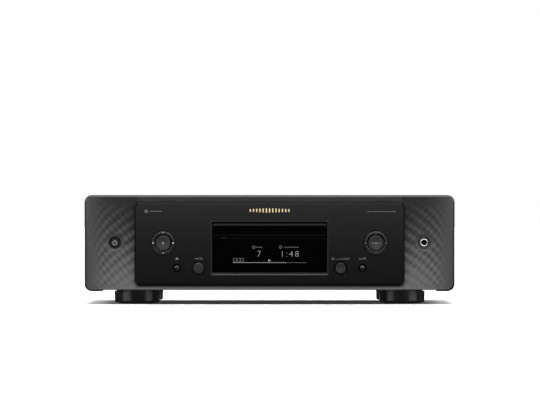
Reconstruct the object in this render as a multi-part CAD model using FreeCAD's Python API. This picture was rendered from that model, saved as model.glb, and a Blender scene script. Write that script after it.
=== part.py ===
import FreeCAD
import Part

import math
import os

# Full-width disc player, in millimetres. X runs to the viewer's right, Y from front to back, Z up.
# The origin is on the table, under the middle of the box that holds the whole player.

# Overall size
WIDTH = 443.0
DEPTH = 424.0
HEIGHT = 130.0
FRONT = -DEPTH / 2
BACK = DEPTH / 2

# Front panel: a moulded surround with a floating face plate before it
PLATE_FACE = FRONT + 8.0
PLATE_THICK = 5.0
PLATE_BACK = PLATE_FACE + PLATE_THICK
PLATE_HALF = 161.5
PLATE_LOW = 22.4
PLATE_HIGH = 120.5
PLATE_CORNER = 6.5
PLATE_BEVEL = 1.2
PANEL_FACE = FRONT + 12.0
PANEL_BACK = FRONT + 32.0
PANEL_LOW = 14.7
PANEL_CORNER = 9.0
PANEL_ROUND = 2.0
NOTCH_Z = 16.3
NOTCH_HALF = 200.0
SEAM_X = 159.0
SEAM_GAP = 0.3
RIM = 2.2
DISH_DEPTH = 10.0
DISH_MARGIN = 3.5
DISH_MIDDLE = 73.0
DISH_STEEPNESS = 0.8
DISH_OUTER = WIDTH / 2 - DISH_MARGIN
LEAST_DISH = 0.02

# Window with the tray above the display
WINDOW_HALF = 68.5
WINDOW_LOW = 36.0
WINDOW_HIGH = 97.4
WINDOW_BEVEL = 1.7
LENS_LOW = 37.5
LENS_HIGH = 78.6
SLIT = 0.25
HOLDER_STEP = 0.8
HOLDER_THICK = 5.0
TRAY_FRONT_LOW = 79.7
TRAY_FRONT_HIGH = 95.8

# Controls, as seen from the front
RING_X = 127.3
RING_Z = 72.7
RING_HOLE_R = 14.7
RING_OUTER_R = 13.8
RING_INNER_R = 10.3
RING_SKIRT_R = 12.4
CARRIER_Y = PLATE_BACK + 2.4
CARRIER_INNER_R = 13.2
CARRIER_OUTER_R = 16.0
PIN_R = 0.8
CENTRE_BUTTON_R = 9.0
LOWER_ROW_Z = 42.7
SMALL_BUTTON_X = 111.0
SMALL_BUTTON_R = 3.9
SMALL_HOLE_R = 4.7
LARGE_BUTTON_X = 85.0
LARGE_BUTTON_R = 6.3
LARGE_HOLE_R = 7.6
KNOB_SHAFT_R = 3.0
WING_CONTROL_X = 185.1
WING_CONTROL_Z = 73.1
SOCKET_SEAT_R = 7.8
SOCKET_FLANGE_R = 9.5
COLLAR_FACE = PANEL_FACE + 9.6
COLLAR_BORE_R = 6.2
COLLAR_SLOPE = 1.6
HEADPHONE_BORE_R = 3.25
FERRULE_R = 4.7
FERRULE_BACK = COLLAR_FACE + 4.0
HEADPHONE_BORE_END = PANEL_BACK + 20.0
PRESS_TRAVEL = 1.0
CENTRE_STEM_R = 3.0
SMALL_STEM_R = 2.0
LARGE_STEM_R = 2.4
STEM_PLAY = 0.15
FLANGE_FRONT = PLATE_BACK + 0.6
FLANGE_BACK = PLATE_BACK + 1.8
BOARD_FACE = PLATE_BACK + 13.0
SWITCH_TIP = BOARD_FACE - 3.7
STEM_END = SWITCH_TIP - 0.2 - PRESS_TRAVEL

# Sheet metal case
SHEET = 1.5
CASE_HALF = 220.2
CASE_TOP = 129.3
CASE_CORNER = 8.2
CASE_SPLIT_Z = 24.6
BASE_LOW = 17.0
FLOOR = BASE_LOW + SHEET
REAR_FACE = 198.5
REAR_INNER = REAR_FACE - SHEET
COVER_BACK = 201.0
COVER_SCREW_Y = (-140.0, 10.0, 160.0)
COVER_SCREW_Z = 31.6
COVER_SCREW_R = 2.0
REAR_SCREW_R = 1.5
REAR_SCREW_X = (-205.0, -60.0, 60.0, 205.0)
REAR_SCREW_Z = (27.0, 121.0)

# Feet
FOOT_X = 159.0
FOOT_FRONT_Y = -150.0
FOOT_REAR_Y = 145.0
FOOT_R = 27.7
FOOT_TOP = 15.2
FOOT_NECK_R = 25.0
FOOT_SCREW_R = 2.0

# Disc tray and loader
DISC_Y = -118.0
TRAY_TRAVEL = 150.0
TRAY_HALF = 64.0
TRAY_BACK = 4.0
TRAY_LOW = 84.0
TRAY_HIGH = 93.0
SMALL_SEAT_Z = 88.3
RUNNER_LOW = 85.5
RUNNER_HIGH = 88.5
LOADER_FRONT = -176.0
LOADER_BACK = 22.0
LOADER_HALF = 71.0
LOADER_LOW = 62.0
LOADER_HIGH = 97.5
HINGE_Y = -18.0
HINGE_Z = 77.0
HINGE_R = 2.0
TRAVERSE_TOP = 82.6
TRAVERSE_THICK = 2.4
TRAVERSE_HALF = 34.0
ROD_X = 18.0
ROD_Z = 76.0
ROD_R = 1.5
SCREW_X = 27.5
SCREW_Z = 75.0
SCREW_R = 1.5
SPINDLE_R = 1.5

TRAY_FRONT_BACK = PLATE_FACE + 4.6

# Tray drive: motor pulley, belt, pulley gear, drive gear with its pinion, and the rack under the tray
GEAR_MODULE = 0.7
PULLEY_GEAR_TEETH = 18
DRIVE_GEAR_TEETH = 36
RACK_MODULE = 1.0
PINION_TEETH = 18
DRIVE_GEAR_X = -48.5
DRIVE_GEAR_Y = -156.0
PULLEY_R = 9.0
MOTOR_PULLEY_R = 3.0
PULLEY_LOW = 67.6
PULLEY_HIGH = 72.2
DRIVE_GEAR_LOW = 74.6
AXLE_R = 2.0
MOTOR_SHAFT_R = 1.0
BELT_REACH = 27.0
BELT_THICK = 1.2
RUN = 0.05
BACKLASH = 0.06
PRESSURE_ANGLE = math.radians(20)
RACK_X = DRIVE_GEAR_X - RACK_MODULE * PINION_TEETH / 2
PULLEY_GEAR_X = DRIVE_GEAR_X + GEAR_MODULE * (PULLEY_GEAR_TEETH + DRIVE_GEAR_TEETH) / 2
MOTOR_X = PULLEY_GEAR_X + BELT_REACH

# Rear sockets, as (x, z) or (x low, x high, z low, z high)
RCA_X = (128.0, 158.0)
RCA_Z = (58.0, 84.0)
BARREL_R = 4.15
COAX_PLACES = ((58.0, 46.0), (36.0, 46.0))
OPTICAL_X = (58.0, 36.0, 14.0)
OPTICAL_Z = 74.0
JACK_R = 3.2
JACK_PLACES = ((-34.0, 46.0), (-50.0, 46.0), (-66.0, 46.0))
ANTENNA_PLACES = ((196.0, 108.0), (-196.0, 108.0))
LAN_BOX = (-26.0, -10.0, 68.0, 82.0)
USB_BOX = (-54.0, -39.5, 71.0, 78.2)
USB_B_BOX = (-76.0, -64.0, 68.0, 79.0)
INLET_X = -170.0
INLET_Z = 52.0
INLET_HALF_WIDE = 14.0
INLET_HALF_HIGH = 10.5
INLET_FLANGE = 2.4
INLET_SCREW_REACH = 19.5

# Power supply and electronics. A board's bounds are x low, x high, y low, y high.
TRANSFORMER_X = -148.0
TRANSFORMER_Y = -92.0
TRANSFORMER_HIGH = 47.0
POWER_BOARD = (-212.0, -90.0, -20.0, 170.0)
AUDIO_BOARD = (90.0, 212.0, -60.0, 192.0)
DIGITAL_BOARD = (-82.0, 82.0, 50.0, 192.0)
BOARD_Z = 30.0
BOARD_THICK = 1.6
BOARD_TOP = BOARD_Z + BOARD_THICK


# Shape helpers

def outline(points, place):
    """Closed wire through (u, v) or (u, v, corner radius) points, put into space by place(u, v)."""
    ends = []
    for i, point in enumerate(points):
        here = FreeCAD.Vector(point[0], point[1], 0)
        before = points[i - 1]
        after = points[(i + 1) % len(points)]
        radius = point[2] if len(point) > 2 else 0
        if not radius:
            ends.append((here, here, here))
            continue
        to_before = FreeCAD.Vector(before[0], before[1], 0).sub(here).normalize()
        to_after = FreeCAD.Vector(after[0], after[1], 0).sub(here).normalize()
        half = to_before.getAngle(to_after) / 2
        bisector = to_before.add(to_after).normalize()
        reach = radius / math.tan(half)
        middle = here + bisector * (radius / math.sin(half) - radius)
        ends.append((here + to_before * reach, middle, here + to_after * reach))
    edges = []
    for i, (start, middle, end) in enumerate(ends):
        if (start - end).Length > 1e-6:
            arc = Part.Arc(*[place(p.x, p.y) for p in (start, middle, end)])
            edges.append(arc.toShape())
        following = ends[(i + 1) % len(ends)][0]
        if (following - end).Length > 1e-6:
            edges.append(Part.makeLine(place(end.x, end.y), place(following.x, following.y)))
    return Part.Wire(Part.__sortEdges__(edges))


def rectangle(u0, u1, v0, v1, radius=0):
    """Corner points of a rectangle, each with the corner radius."""
    return [(u0, v0, radius), (u1, v0, radius), (u1, v1, radius), (u0, v1, radius)]


def slab_x(points, x0, x1):
    """Flat piece with a (Y, Z) outline, from x0 to x1."""
    face = Part.Face(outline(points, lambda u, v: FreeCAD.Vector(x0, u, v)))
    return face.extrude(FreeCAD.Vector(x1 - x0, 0, 0))


def slab_y(points, y0, y1):
    """Flat piece with an (X, Z) outline, from y0 to y1."""
    face = Part.Face(outline(points, lambda u, v: FreeCAD.Vector(u, y0, v)))
    return face.extrude(FreeCAD.Vector(0, y1 - y0, 0))


def slab_z(points, z0, z1):
    """Flat piece with an (X, Y) outline, from z0 to z1."""
    face = Part.Face(outline(points, lambda u, v: FreeCAD.Vector(u, v, z0)))
    return face.extrude(FreeCAD.Vector(0, 0, z1 - z0))


def block(x0, x1, y0, y1, z0, z1):
    """Box between two corners."""
    return Part.makeBox(x1 - x0, y1 - y0, z1 - z0, FreeCAD.Vector(x0, y0, z0))


def rod_x(y, z, radius, x0, x1):
    """Cylinder along X."""
    return Part.makeCylinder(radius, x1 - x0, FreeCAD.Vector(x0, y, z), FreeCAD.Vector(1, 0, 0))


def rod_y(x, z, radius, y0, y1):
    """Cylinder along Y."""
    return Part.makeCylinder(radius, y1 - y0, FreeCAD.Vector(x, y0, z), FreeCAD.Vector(0, 1, 0))


def rod_z(x, y, radius, z0, z1):
    """Cylinder along Z."""
    return Part.makeCylinder(radius, z1 - z0, FreeCAD.Vector(x, y, z0), FreeCAD.Vector(0, 0, 1))


def turned_y(points, x, z):
    """Round piece about a Y axis, from (radius, Y) points with optional corner radii."""
    face = Part.Face(outline(points, lambda u, v: FreeCAD.Vector(x + u, v, z)))
    return face.revolve(FreeCAD.Vector(x, 0, z), FreeCAD.Vector(0, 1, 0), 360)


def turned_z(points, x, y):
    """Round piece about a Z axis, from (radius, Z) points with optional corner radii."""
    face = Part.Face(outline(points, lambda u, v: FreeCAD.Vector(x + u, y, v)))
    return face.revolve(FreeCAD.Vector(x, y, 0), FreeCAD.Vector(0, 0, 1), 360)


def joined(*shapes):
    """One solid from touching shapes."""
    return shapes[0].fuse(list(shapes[1:])).removeSplitter()


def group(shapes):
    """Separate solids kept together in one node."""
    return Part.makeCompound(list(shapes))


def mirrored(shape):
    """The same piece on the other side of the player."""
    return shape.mirror(FreeCAD.Vector(0, 0, 0), FreeCAD.Vector(1, 0, 0))


def edges_on_y(shape, y):
    """Edges that lie in the plane at y."""
    return [e for e in shape.Edges if abs(e.BoundBox.YMin - y) < 1e-4 and abs(e.BoundBox.YMax - y) < 1e-4]


# Front panel

def dish_depth(x):
    """How far the panel's face lies back at x: none at the outer rim, where it falls away at once, and all
    of it behind the face plate."""
    share = min(1.0, max(0.0, (DISH_OUTER - x) / (DISH_OUTER - SEAM_X)))
    return DISH_DEPTH * math.sin(math.pi / 2 * share) ** DISH_STEEPNESS


def dish_section(x, depth):
    """Cross-section of the hollow before the panel's face: straight at the front, arched at the back."""
    low = NOTCH_Z + 1.0
    high = HEIGHT - RIM
    before = PANEL_FACE - 1.0
    arc = Part.Arc(
        FreeCAD.Vector(x, PANEL_FACE, low),
        FreeCAD.Vector(x, PANEL_FACE + depth, DISH_MIDDLE),
        FreeCAD.Vector(x, PANEL_FACE, high),
    ).toShape()
    corners = [(PANEL_FACE, high), (before, high), (before, low), (PANEL_FACE, low)]
    points = [FreeCAD.Vector(x, y, z) for y, z in corners]
    lines = [Part.makeLine(points[i], points[i + 1]) for i in range(3)]
    return Part.Wire([arc] + lines)


def panel_blank():
    """The whole moulded surround before it is dished and parted: rounded corners, a rounded rim, a raised
    lower edge between its two corners."""
    half = WIDTH / 2
    blank = slab_y(rectangle(-half, half, PANEL_LOW, HEIGHT, PANEL_CORNER), PANEL_FACE, PANEL_BACK)
    blank = blank.makeFillet(PANEL_ROUND, edges_on_y(blank, PANEL_FACE))
    slope = NOTCH_Z - PANEL_LOW
    notch = [
        (-NOTCH_HALF, PANEL_LOW),
        (NOTCH_HALF, PANEL_LOW),
        (NOTCH_HALF - slope, NOTCH_Z),
        (slope - NOTCH_HALF, NOTCH_Z),
    ]
    return blank.cut(slab_y(notch, PANEL_FACE - 1, PANEL_BACK + 1))


def wing_dish():
    """Hollow of the right wing: arched upwards, and deeper towards the face plate. The sections stand closer
    together near the outer rim, where the hollow is steepest."""
    count = 12
    reach = DISH_OUTER - SEAM_X + 1
    stations = [DISH_OUTER - reach * (i / (count - 1)) ** 2 for i in range(count)]
    sections = [dish_section(x, dish_depth(x) + LEAST_DISH) for x in stations]
    return Part.makeLoft(sections, True, False)


def right_wing_panel():
    """Moulded right wing with its dished face and the seat for the headphone socket."""
    wing = panel_blank().common(block(SEAM_X + SEAM_GAP, WIDTH, FRONT, PANEL_BACK, 0, HEIGHT))
    wing = wing.cut(wing_dish())
    pocket = block(SEAM_X + 5, WIDTH / 2 - 12, PANEL_BACK - 5, PANEL_BACK + 1, 28, 118)
    boss = rod_y(WING_CONTROL_X, WING_CONTROL_Z, 12, PANEL_BACK - 6, PANEL_BACK)
    wing = wing.cut(pocket.cut(boss))
    return wing.cut(rod_y(WING_CONTROL_X, WING_CONTROL_Z, SOCKET_SEAT_R, FRONT, PANEL_BACK + 1))


def left_wing_panel():
    """Moulded left wing, with the round seat for the power button."""
    return mirrored(right_wing_panel())


def centre_backing_panel():
    """Middle of the moulded surround, seen above and below the face plate, with posts for the plate."""
    panel = panel_blank().common(block(-SEAM_X, SEAM_X, FRONT, PANEL_BACK, 0, HEIGHT))
    section = dish_section(-SEAM_X - 1, DISH_DEPTH)
    panel = panel.cut(Part.Face(section).extrude(FreeCAD.Vector(2 * SEAM_X + 2, 0, 0)))
    panel = panel.cut(slab_y(rectangle(-150.5, 150.5, 30.5, 110, 3), FRONT, PANEL_BACK + 1))
    posts = [rod_y(x, z, 3.2, PLATE_BACK, PANEL_BACK - 2) for x in (-154.5, 0, 154.5) for z in (27, 115)]
    return joined(panel, *posts)


def face_plate():
    """Floating flat plate with a bevelled rim, a bevelled window and the holes for the controls."""
    plate = slab_y(
        rectangle(-PLATE_HALF, PLATE_HALF, PLATE_LOW, PLATE_HIGH, PLATE_CORNER), PLATE_FACE, PLATE_BACK
    )
    plate = plate.makeChamfer(PLATE_BEVEL, edges_on_y(plate, PLATE_FACE))
    window = slab_y(
        rectangle(-WINDOW_HALF, WINDOW_HALF, WINDOW_LOW, WINDOW_HIGH, 1.0), PLATE_FACE - 1, PLATE_BACK + 1
    )
    plate = plate.cut(window)
    wide = WINDOW_BEVEL
    mouth = Part.makeLoft(
        [
            outline(
                rectangle(
                    -WINDOW_HALF - grow, WINDOW_HALF + grow, WINDOW_LOW - grow, WINDOW_HIGH + grow, 1.0 + grow
                ),
                lambda u, v, y=y: FreeCAD.Vector(u, y, v),
            )
            for grow, y in ((wide, PLATE_FACE), (0, PLATE_FACE + wide))
        ],
        True,
        True,
    )
    plate = plate.cut(mouth)
    for side in (-1, 1):
        for x, z, radius in (
            (RING_X, RING_Z, RING_HOLE_R),
            (SMALL_BUTTON_X, LOWER_ROW_Z, SMALL_HOLE_R),
            (LARGE_BUTTON_X, LOWER_ROW_Z, LARGE_HOLE_R),
        ):
            hole = turned_y(
                [
                    (0, PLATE_FACE - 1),
                    (radius + 0.5, PLATE_FACE - 1),
                    (radius + 0.5, PLATE_FACE),
                    (radius, PLATE_FACE + 0.5),
                    (radius, PLATE_BACK + 1),
                    (0, PLATE_BACK + 1),
                ],
                side * x,
                z,
            )
            plate = plate.cut(hole)
    return plate


def display_lens():
    """Smoked pane that covers the display, set back in the window below the tray, its lower edge bevelled."""
    half = WINDOW_HALF - SLIT
    front = PLATE_FACE + 2.0
    back = PLATE_BACK - HOLDER_STEP
    bevel = 0.8
    profile = [
        (front + bevel, LENS_LOW),
        (back, LENS_LOW),
        (back, LENS_HIGH),
        (front, LENS_HIGH, 0.4),
        (front, LENS_LOW + bevel),
    ]
    return slab_x(profile, -half, half)


def display_holder():
    """Black frame behind the lens that holds it and the display module to the face plate."""
    frame = slab_y(rectangle(-76, 76, 32.5, LENS_HIGH - 0.2, 2), PLATE_BACK, PLATE_BACK + HOLDER_THICK)
    front_step = slab_y(
        rectangle(SLIT - WINDOW_HALF, WINDOW_HALF - SLIT, WINDOW_LOW + SLIT, LENS_HIGH - 0.4, 0.8),
        PLATE_BACK - HOLDER_STEP,
        PLATE_BACK,
    )
    opening = slab_y(rectangle(-62, 62, 41, 75, 1), PLATE_BACK - 2, PLATE_BACK + 6)
    return joined(frame, front_step).cut(opening)


def display_module():
    """Display glass on its circuit board."""
    front = PLATE_BACK + HOLDER_THICK
    back = front + BOARD_THICK
    glass = block(-60.5, 60.5, front - 3.6, front, 42.2, 73.8)
    board = block(-74, 74, front, back, 34, 78)
    sensor = block(-61.5, -56, back, back + 3.4, 56, 64)
    connector = block(-20, 20, back, back + 4.4, 40, 46)
    return joined(glass, board, sensor, connector)


# Controls

def ring_body(x):
    """Four-way ring with a rounded edge both ways, a skirt behind the plate and two pins on its Z axis."""
    face = PLATE_FACE - 2.4
    bevel = 0.7
    ring = turned_y(
        [
            (RING_INNER_R, face + bevel),
            (RING_INNER_R + bevel, face, 0.4),
            (RING_OUTER_R - bevel, face, 0.4),
            (RING_OUTER_R, face + bevel),
            (RING_OUTER_R, PLATE_FACE + 2.0),
            (RING_SKIRT_R, PLATE_FACE + 2.0),
            (RING_SKIRT_R, PLATE_BACK + 4.0),
            (RING_INNER_R, PLATE_BACK + 4.0),
        ],
        x,
        RING_Z,
    )
    pins = [rod_z(x, CARRIER_Y, PIN_R, z, z + 2.6) for z in (RING_Z - 14.6, RING_Z + 12)]
    return joined(ring, *pins)


def ring_carrier(x):
    """Carrier about the ring: it holds the ring's pins, and rocks on its own two pins along X."""
    half = 1.5
    carrier = turned_y(
        [
            (CARRIER_INNER_R, CARRIER_Y - half),
            (CARRIER_OUTER_R, CARRIER_Y - half),
            (CARRIER_OUTER_R, CARRIER_Y + half),
            (CARRIER_INNER_R, CARRIER_Y + half),
        ],
        x,
        RING_Z,
    )
    carrier = carrier.cut(rod_z(x, CARRIER_Y, PIN_R + RUN, RING_Z - 20, RING_Z + 20))
    pins = [rod_x(CARRIER_Y, RING_Z, PIN_R, end, end + 2.9) for end in (x - 18.6, x + 15.7)]
    return joined(carrier, *pins)


def input_button():
    """Large push button: a cap through the plate, a flange that stops it, and a stem to its switch."""
    face = PLATE_FACE - 4.5
    return turned_y(
        [
            (0, face),
            (LARGE_BUTTON_R - 0.7, face, 0.4),
            (LARGE_BUTTON_R, face + 0.7),
            (LARGE_BUTTON_R, FLANGE_FRONT),
            (LARGE_BUTTON_R + 1.2, FLANGE_FRONT),
            (LARGE_BUTTON_R + 1.2, FLANGE_BACK),
            (LARGE_STEM_R, FLANGE_BACK),
            (LARGE_STEM_R, STEM_END),
            (0, STEM_END),
        ],
        -LARGE_BUTTON_X,
        LOWER_ROW_Z,
    )


def centre_button(x):
    """Push button in the middle of a ring, dished a little, which slides on a long stem."""
    face = PLATE_FACE - 2.9
    return turned_y(
        [
            (0, face + 0.25),
            (CENTRE_BUTTON_R - 1.6, face, 2.0),
            (CENTRE_BUTTON_R - 0.5, face),
            (CENTRE_BUTTON_R, face + 0.5),
            (CENTRE_BUTTON_R, PLATE_BACK + 1),
            (CENTRE_STEM_R, PLATE_BACK + 1),
            (CENTRE_STEM_R, STEM_END),
            (0, STEM_END),
        ],
        x,
        RING_Z,
    )


def small_button(x):
    """Small button with a domed cap."""
    face = PLATE_FACE - 1.1
    return turned_y(
        [
            (0, face),
            (1.5, face + 0.12),
            (2.8, face + 0.65),
            (SMALL_BUTTON_R, face + 1.9),
            (SMALL_BUTTON_R, FLANGE_FRONT),
            (SMALL_BUTTON_R + 1.4, FLANGE_FRONT),
            (SMALL_BUTTON_R + 1.4, FLANGE_BACK),
            (SMALL_STEM_R, FLANGE_BACK),
            (SMALL_STEM_R, STEM_END),
            (0, STEM_END),
        ],
        x,
        LOWER_ROW_Z,
    )


def phones_knob():
    """Headphone level knob, pressed on the potentiometer's shaft, with a pointer line cut in its face."""
    knob = turned_y(
        [
            (0, FRONT + 0.15),
            (LARGE_BUTTON_R - 1.6, FRONT, 1.5),
            (LARGE_BUTTON_R - 0.6, FRONT),
            (LARGE_BUTTON_R, FRONT + 0.6),
            (LARGE_BUTTON_R, PLATE_FACE + 1.5),
            (LARGE_BUTTON_R + 0.5, PLATE_FACE + 2.0),
            (LARGE_BUTTON_R + 0.5, PLATE_BACK + 1.5),
            (0, PLATE_BACK + 1.5),
        ],
        LARGE_BUTTON_X,
        LOWER_ROW_Z,
    )
    x, z = LARGE_BUTTON_X, LOWER_ROW_Z
    shaft = rod_y(x, z, KNOB_SHAFT_R, PLATE_BACK + 1, BOARD_FACE - 5.2)
    groove = block(x - 0.35, x + 0.35, FRONT - 1, FRONT + 0.6, z + 3, z + 8)
    return joined(knob, shaft).cut(groove)


def phones_potentiometer():
    """Rotary potentiometer behind the knob: a threaded bush round the shaft and a metal can."""
    x, z = LARGE_BUTTON_X, LOWER_ROW_Z
    bush = rod_y(x, z, 4.5, PLATE_BACK + 3, BOARD_FACE - 6)
    can = block(x - 6, x + 6, BOARD_FACE - 6, BOARD_FACE, z - 6, z + 6)
    bore = rod_y(x, z, KNOB_SHAFT_R + RUN, PLATE_BACK + 2, BOARD_FACE - 5)
    return joined(bush, can).cut(bore)


def control_housing(side):
    """Moulded guide behind the plate for one group of controls, with lugs for the ring carrier's pins."""
    x_in = 92.0 if side > 0 else 76.5
    back = PLATE_BACK + 7.5
    plate = slab_y(rectangle(x_in, 149, 31.5, 96, 3), back - 2, back)
    guides = [(RING_X, RING_Z, CENTRE_STEM_R), (SMALL_BUTTON_X, LOWER_ROW_Z, SMALL_STEM_R)]
    if side < 0:
        guides.append((LARGE_BUTTON_X, LOWER_ROW_Z, LARGE_STEM_R))
    tubes = [rod_y(x, z, radius + 2, back - 3.3, back) for x, z, radius in guides]
    holes = [rod_y(x, z, radius + STEM_PLAY, FRONT, PANEL_BACK) for x, z, radius in guides]
    lugs = [
        block(RING_X + reach, RING_X + reach + 2.5, PLATE_BACK + 0.3, back - 1.5, RING_Z - 2.5, RING_Z + 2.5)
        for reach in (-19.0, 16.5)
    ]
    posts = [
        rod_y(x, z, 2.5, PLATE_BACK, back - 1.5) for x, z in ((RING_X - 10, 92), (145, 35), (x_in + 4, 92))
    ]
    holes.append(rod_x(CARRIER_Y, RING_Z, PIN_R + RUN, RING_X - 20, RING_X + 20))
    housing = joined(plate, *tubes, *lugs, *posts).cut(holes)
    return housing if side > 0 else mirrored(housing)


def control_board(side):
    """Circuit board behind one group of controls, with a small switch behind each button."""
    board = block(77, 149, BOARD_FACE, BOARD_FACE + BOARD_THICK, 31.5, 96)
    places = [(RING_X, RING_Z), (SMALL_BUTTON_X, LOWER_ROW_Z)]
    if side < 0:
        places.append((LARGE_BUTTON_X, LOWER_ROW_Z))
    switches = [
        joined(
            block(x - 3, x + 3, BOARD_FACE - 2.6, BOARD_FACE, z - 3, z + 3),
            rod_y(x, z, 1.6, SWITCH_TIP, BOARD_FACE - 2.6),
        )
        for x, z in places
    ]
    shape = joined(board, *switches)
    return shape if side > 0 else mirrored(shape)


def collar_profile(back):
    """Profile that the power button's collar and the headphone socket's nose share: a seat in the wing with
    a coned mouth, and a flange behind the wing."""
    return [
        (COLLAR_BORE_R, COLLAR_FACE + COLLAR_SLOPE),
        (SOCKET_SEAT_R - 0.2, COLLAR_FACE),
        (SOCKET_SEAT_R, COLLAR_FACE),
        (SOCKET_SEAT_R, PANEL_BACK),
        (SOCKET_FLANGE_R, PANEL_BACK),
        (SOCKET_FLANGE_R, back),
    ]


def power_collar():
    """Black collar with a coned mouth, pressed into the left wing round the power button."""
    back = PANEL_BACK + 1.2
    return turned_y([*collar_profile(back), (COLLAR_BORE_R, back)], -WING_CONTROL_X, WING_CONTROL_Z)


def power_button():
    """Power button with a bevelled rim round a shallow dish, and a stem through the panel to its switch."""
    face = COLLAR_FACE + 0.3
    return turned_y(
        [
            (0, face + 0.5),
            (3.4, face + 0.5),
            (4.2, face),
            (4.8, face),
            (5.6, face + 0.8),
            (5.95, face + 1.4),
            (5.95, PANEL_BACK - 2),
            (2.2, PANEL_BACK - 2),
            (2.2, PANEL_BACK + 8),
            (0, PANEL_BACK + 8),
        ],
        -WING_CONTROL_X,
        WING_CONTROL_Z,
    )


def power_switch():
    """Mains standby switch on a small board behind the left wing."""
    x, z = -WING_CONTROL_X, WING_CONTROL_Z
    face = PANEL_BACK + 14.5
    board = block(x - 14, x + 14, face, face + BOARD_THICK, z - 16, z + 16)
    body = block(x - 6, x + 6, face - 4, face, z - 6, z + 6)
    tip = rod_y(x, z, 1.8, face - 5.3, face - 4)
    arms = [block(left, left + 5, PANEL_BACK + SHEET, face, z - 15, z - 9) for left in (x - 13, x + 8)]
    return joined(board, body, tip, *arms)


def headphone_socket():
    """6.35 mm headphone socket: a black nose in the right wing and a body on its small board."""
    x, z = WING_CONTROL_X, WING_CONTROL_Z
    back = PANEL_BACK + SHEET
    profile = [
        (HEADPHONE_BORE_R, FERRULE_BACK),
        (FERRULE_R, FERRULE_BACK),
        (FERRULE_R, COLLAR_FACE + COLLAR_SLOPE),
        *collar_profile(back),
        (HEADPHONE_BORE_R, back),
    ]
    nose = turned_y(profile, x, z)
    body = block(x - 8, x + 8, back, PANEL_BACK + 28, z - 7, z + 7)
    board = block(x - 12, x + 12, PANEL_BACK + 2, PANEL_BACK + 30, z - 7 - BOARD_THICK, z - 7)
    bore = rod_y(x, z, HEADPHONE_BORE_R, FRONT, HEADPHONE_BORE_END)
    return joined(nose, body, board).cut(bore)


def headphone_ferrule():
    """Plated ring with a rounded front that lines the mouth of the headphone socket."""
    return turned_y(
        [
            (HEADPHONE_BORE_R, COLLAR_FACE + 0.5, 0.3),
            (3.8, COLLAR_FACE, 0.4),
            (4.2, COLLAR_FACE, 0.4),
            (FERRULE_R, COLLAR_FACE + 0.6, 0.3),
            (FERRULE_R, FERRULE_BACK),
            (HEADPHONE_BORE_R, FERRULE_BACK),
        ],
        WING_CONTROL_X,
        WING_CONTROL_Z,
    )


# Case

def front_subframe():
    """Folded steel frame behind the front panel, with cut-outs for the tray, the display and the controls."""
    y = PANEL_BACK
    frame = slab_y(rectangle(-216, 216, FLOOR, 125.5, 4), y, y + SHEET)
    top_fold = block(-200, 200, y + SHEET, y + 14, 124.0, 125.5)
    low_fold = block(-200, 200, y + SHEET, y + 14, FLOOR, FLOOR + SHEET)
    frame = joined(frame, top_fold, low_fold)
    cuts = [slab_y(rectangle(-72, 72, 34, 100, 4), y - 1, y + 3)]
    for side in (-1, 1):
        cuts.append(slab_y(rectangle(side * 112 - 34, side * 112 + 34, 34, 98, 4), y - 1, y + 3))
        cuts.append(rod_y(side * WING_CONTROL_X, WING_CONTROL_Z, SOCKET_FLANGE_R, y - 1, y + 3))
    return frame.cut(cuts)


def chassis_base():
    """Bottom tray: rounded long edges, flanges that the cover slides over, and rows of air slots."""
    y0 = PANEL_BACK + SHEET
    outer = rectangle(-CASE_HALF, CASE_HALF, BASE_LOW, 60, CASE_CORNER - 0.7)
    inner = rectangle(SHEET - CASE_HALF, CASE_HALF - SHEET, FLOOR, 70, CASE_CORNER - 0.7 - SHEET)
    tray = slab_y(outer, y0, REAR_INNER).cut(slab_y(inner, y0 - 1, REAR_INNER + 1))
    tray = tray.cut(block(-WIDTH, WIDTH, y0 - 1, BACK, CASE_SPLIT_Z, 80))
    flange_out = CASE_HALF - SHEET
    flanges = [
        block(x, x + SHEET, y0 + 6, REAR_INNER - 6, CASE_SPLIT_Z - 4, CASE_SPLIT_Z + 14)
        for x in (-flange_out, flange_out - SHEET)
    ]
    base = joined(tray, *flanges)
    slots = []
    for field_x in (-140, 140):
        for i in range(9):
            x = field_x + 8 * (i - 4)
            slots.append(slab_z(rectangle(x - 1.6, x + 1.6, 40, 86, 1.5), BASE_LOW - 1, FLOOR + 1))
    for x, y in foot_places():
        slots.append(rod_z(x, y, FOOT_SCREW_R, BASE_LOW - 1, FLOOR + 1))
    slots += [rod_x(y, COVER_SCREW_Z, COVER_SCREW_R, -WIDTH, WIDTH) for y in COVER_SCREW_Y]
    return base.cut(slots)


def foot_places():
    """Centres of the four feet."""
    return [(x, y) for y in (FOOT_FRONT_Y, FOOT_REAR_Y) for x in (-FOOT_X, FOOT_X)]


def foot(x, y):
    """Large round foot: a drum with a slight taper, a rounded lower edge and a well for its screw."""
    return turned_z(
        [
            (FOOT_SCREW_R, 10.5),
            (FOOT_SCREW_R, BASE_LOW),
            (FOOT_NECK_R, BASE_LOW),
            (FOOT_NECK_R, FOOT_TOP),
            (FOOT_R, FOOT_TOP, 0.6),
            (FOOT_R - 0.6, 0.8, 2.6),
            (22.0, 0.8),
            (22.0, 2.4),
            (6.5, 2.4),
            (6.5, 10.5),
        ],
        x,
        y,
    )


def foot_pad(x, y):
    """Felt-faced rubber ring under a foot."""
    return turned_z([(7.5, 0), (21.6, 0, 0.5), (21.6, 2.4), (7.5, 2.4)], x, y)


def foot_screws():
    """One pan-head screw up through each foot into the base."""
    tip = FLOOR + 3
    profile = [(0, 7.6), (3.6, 7.6, 0.8), (4.2, 10.5), (FOOT_SCREW_R, 10.5), (FOOT_SCREW_R, tip), (0, tip)]
    return [turned_z(profile, x, y) for x, y in foot_places()]


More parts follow.
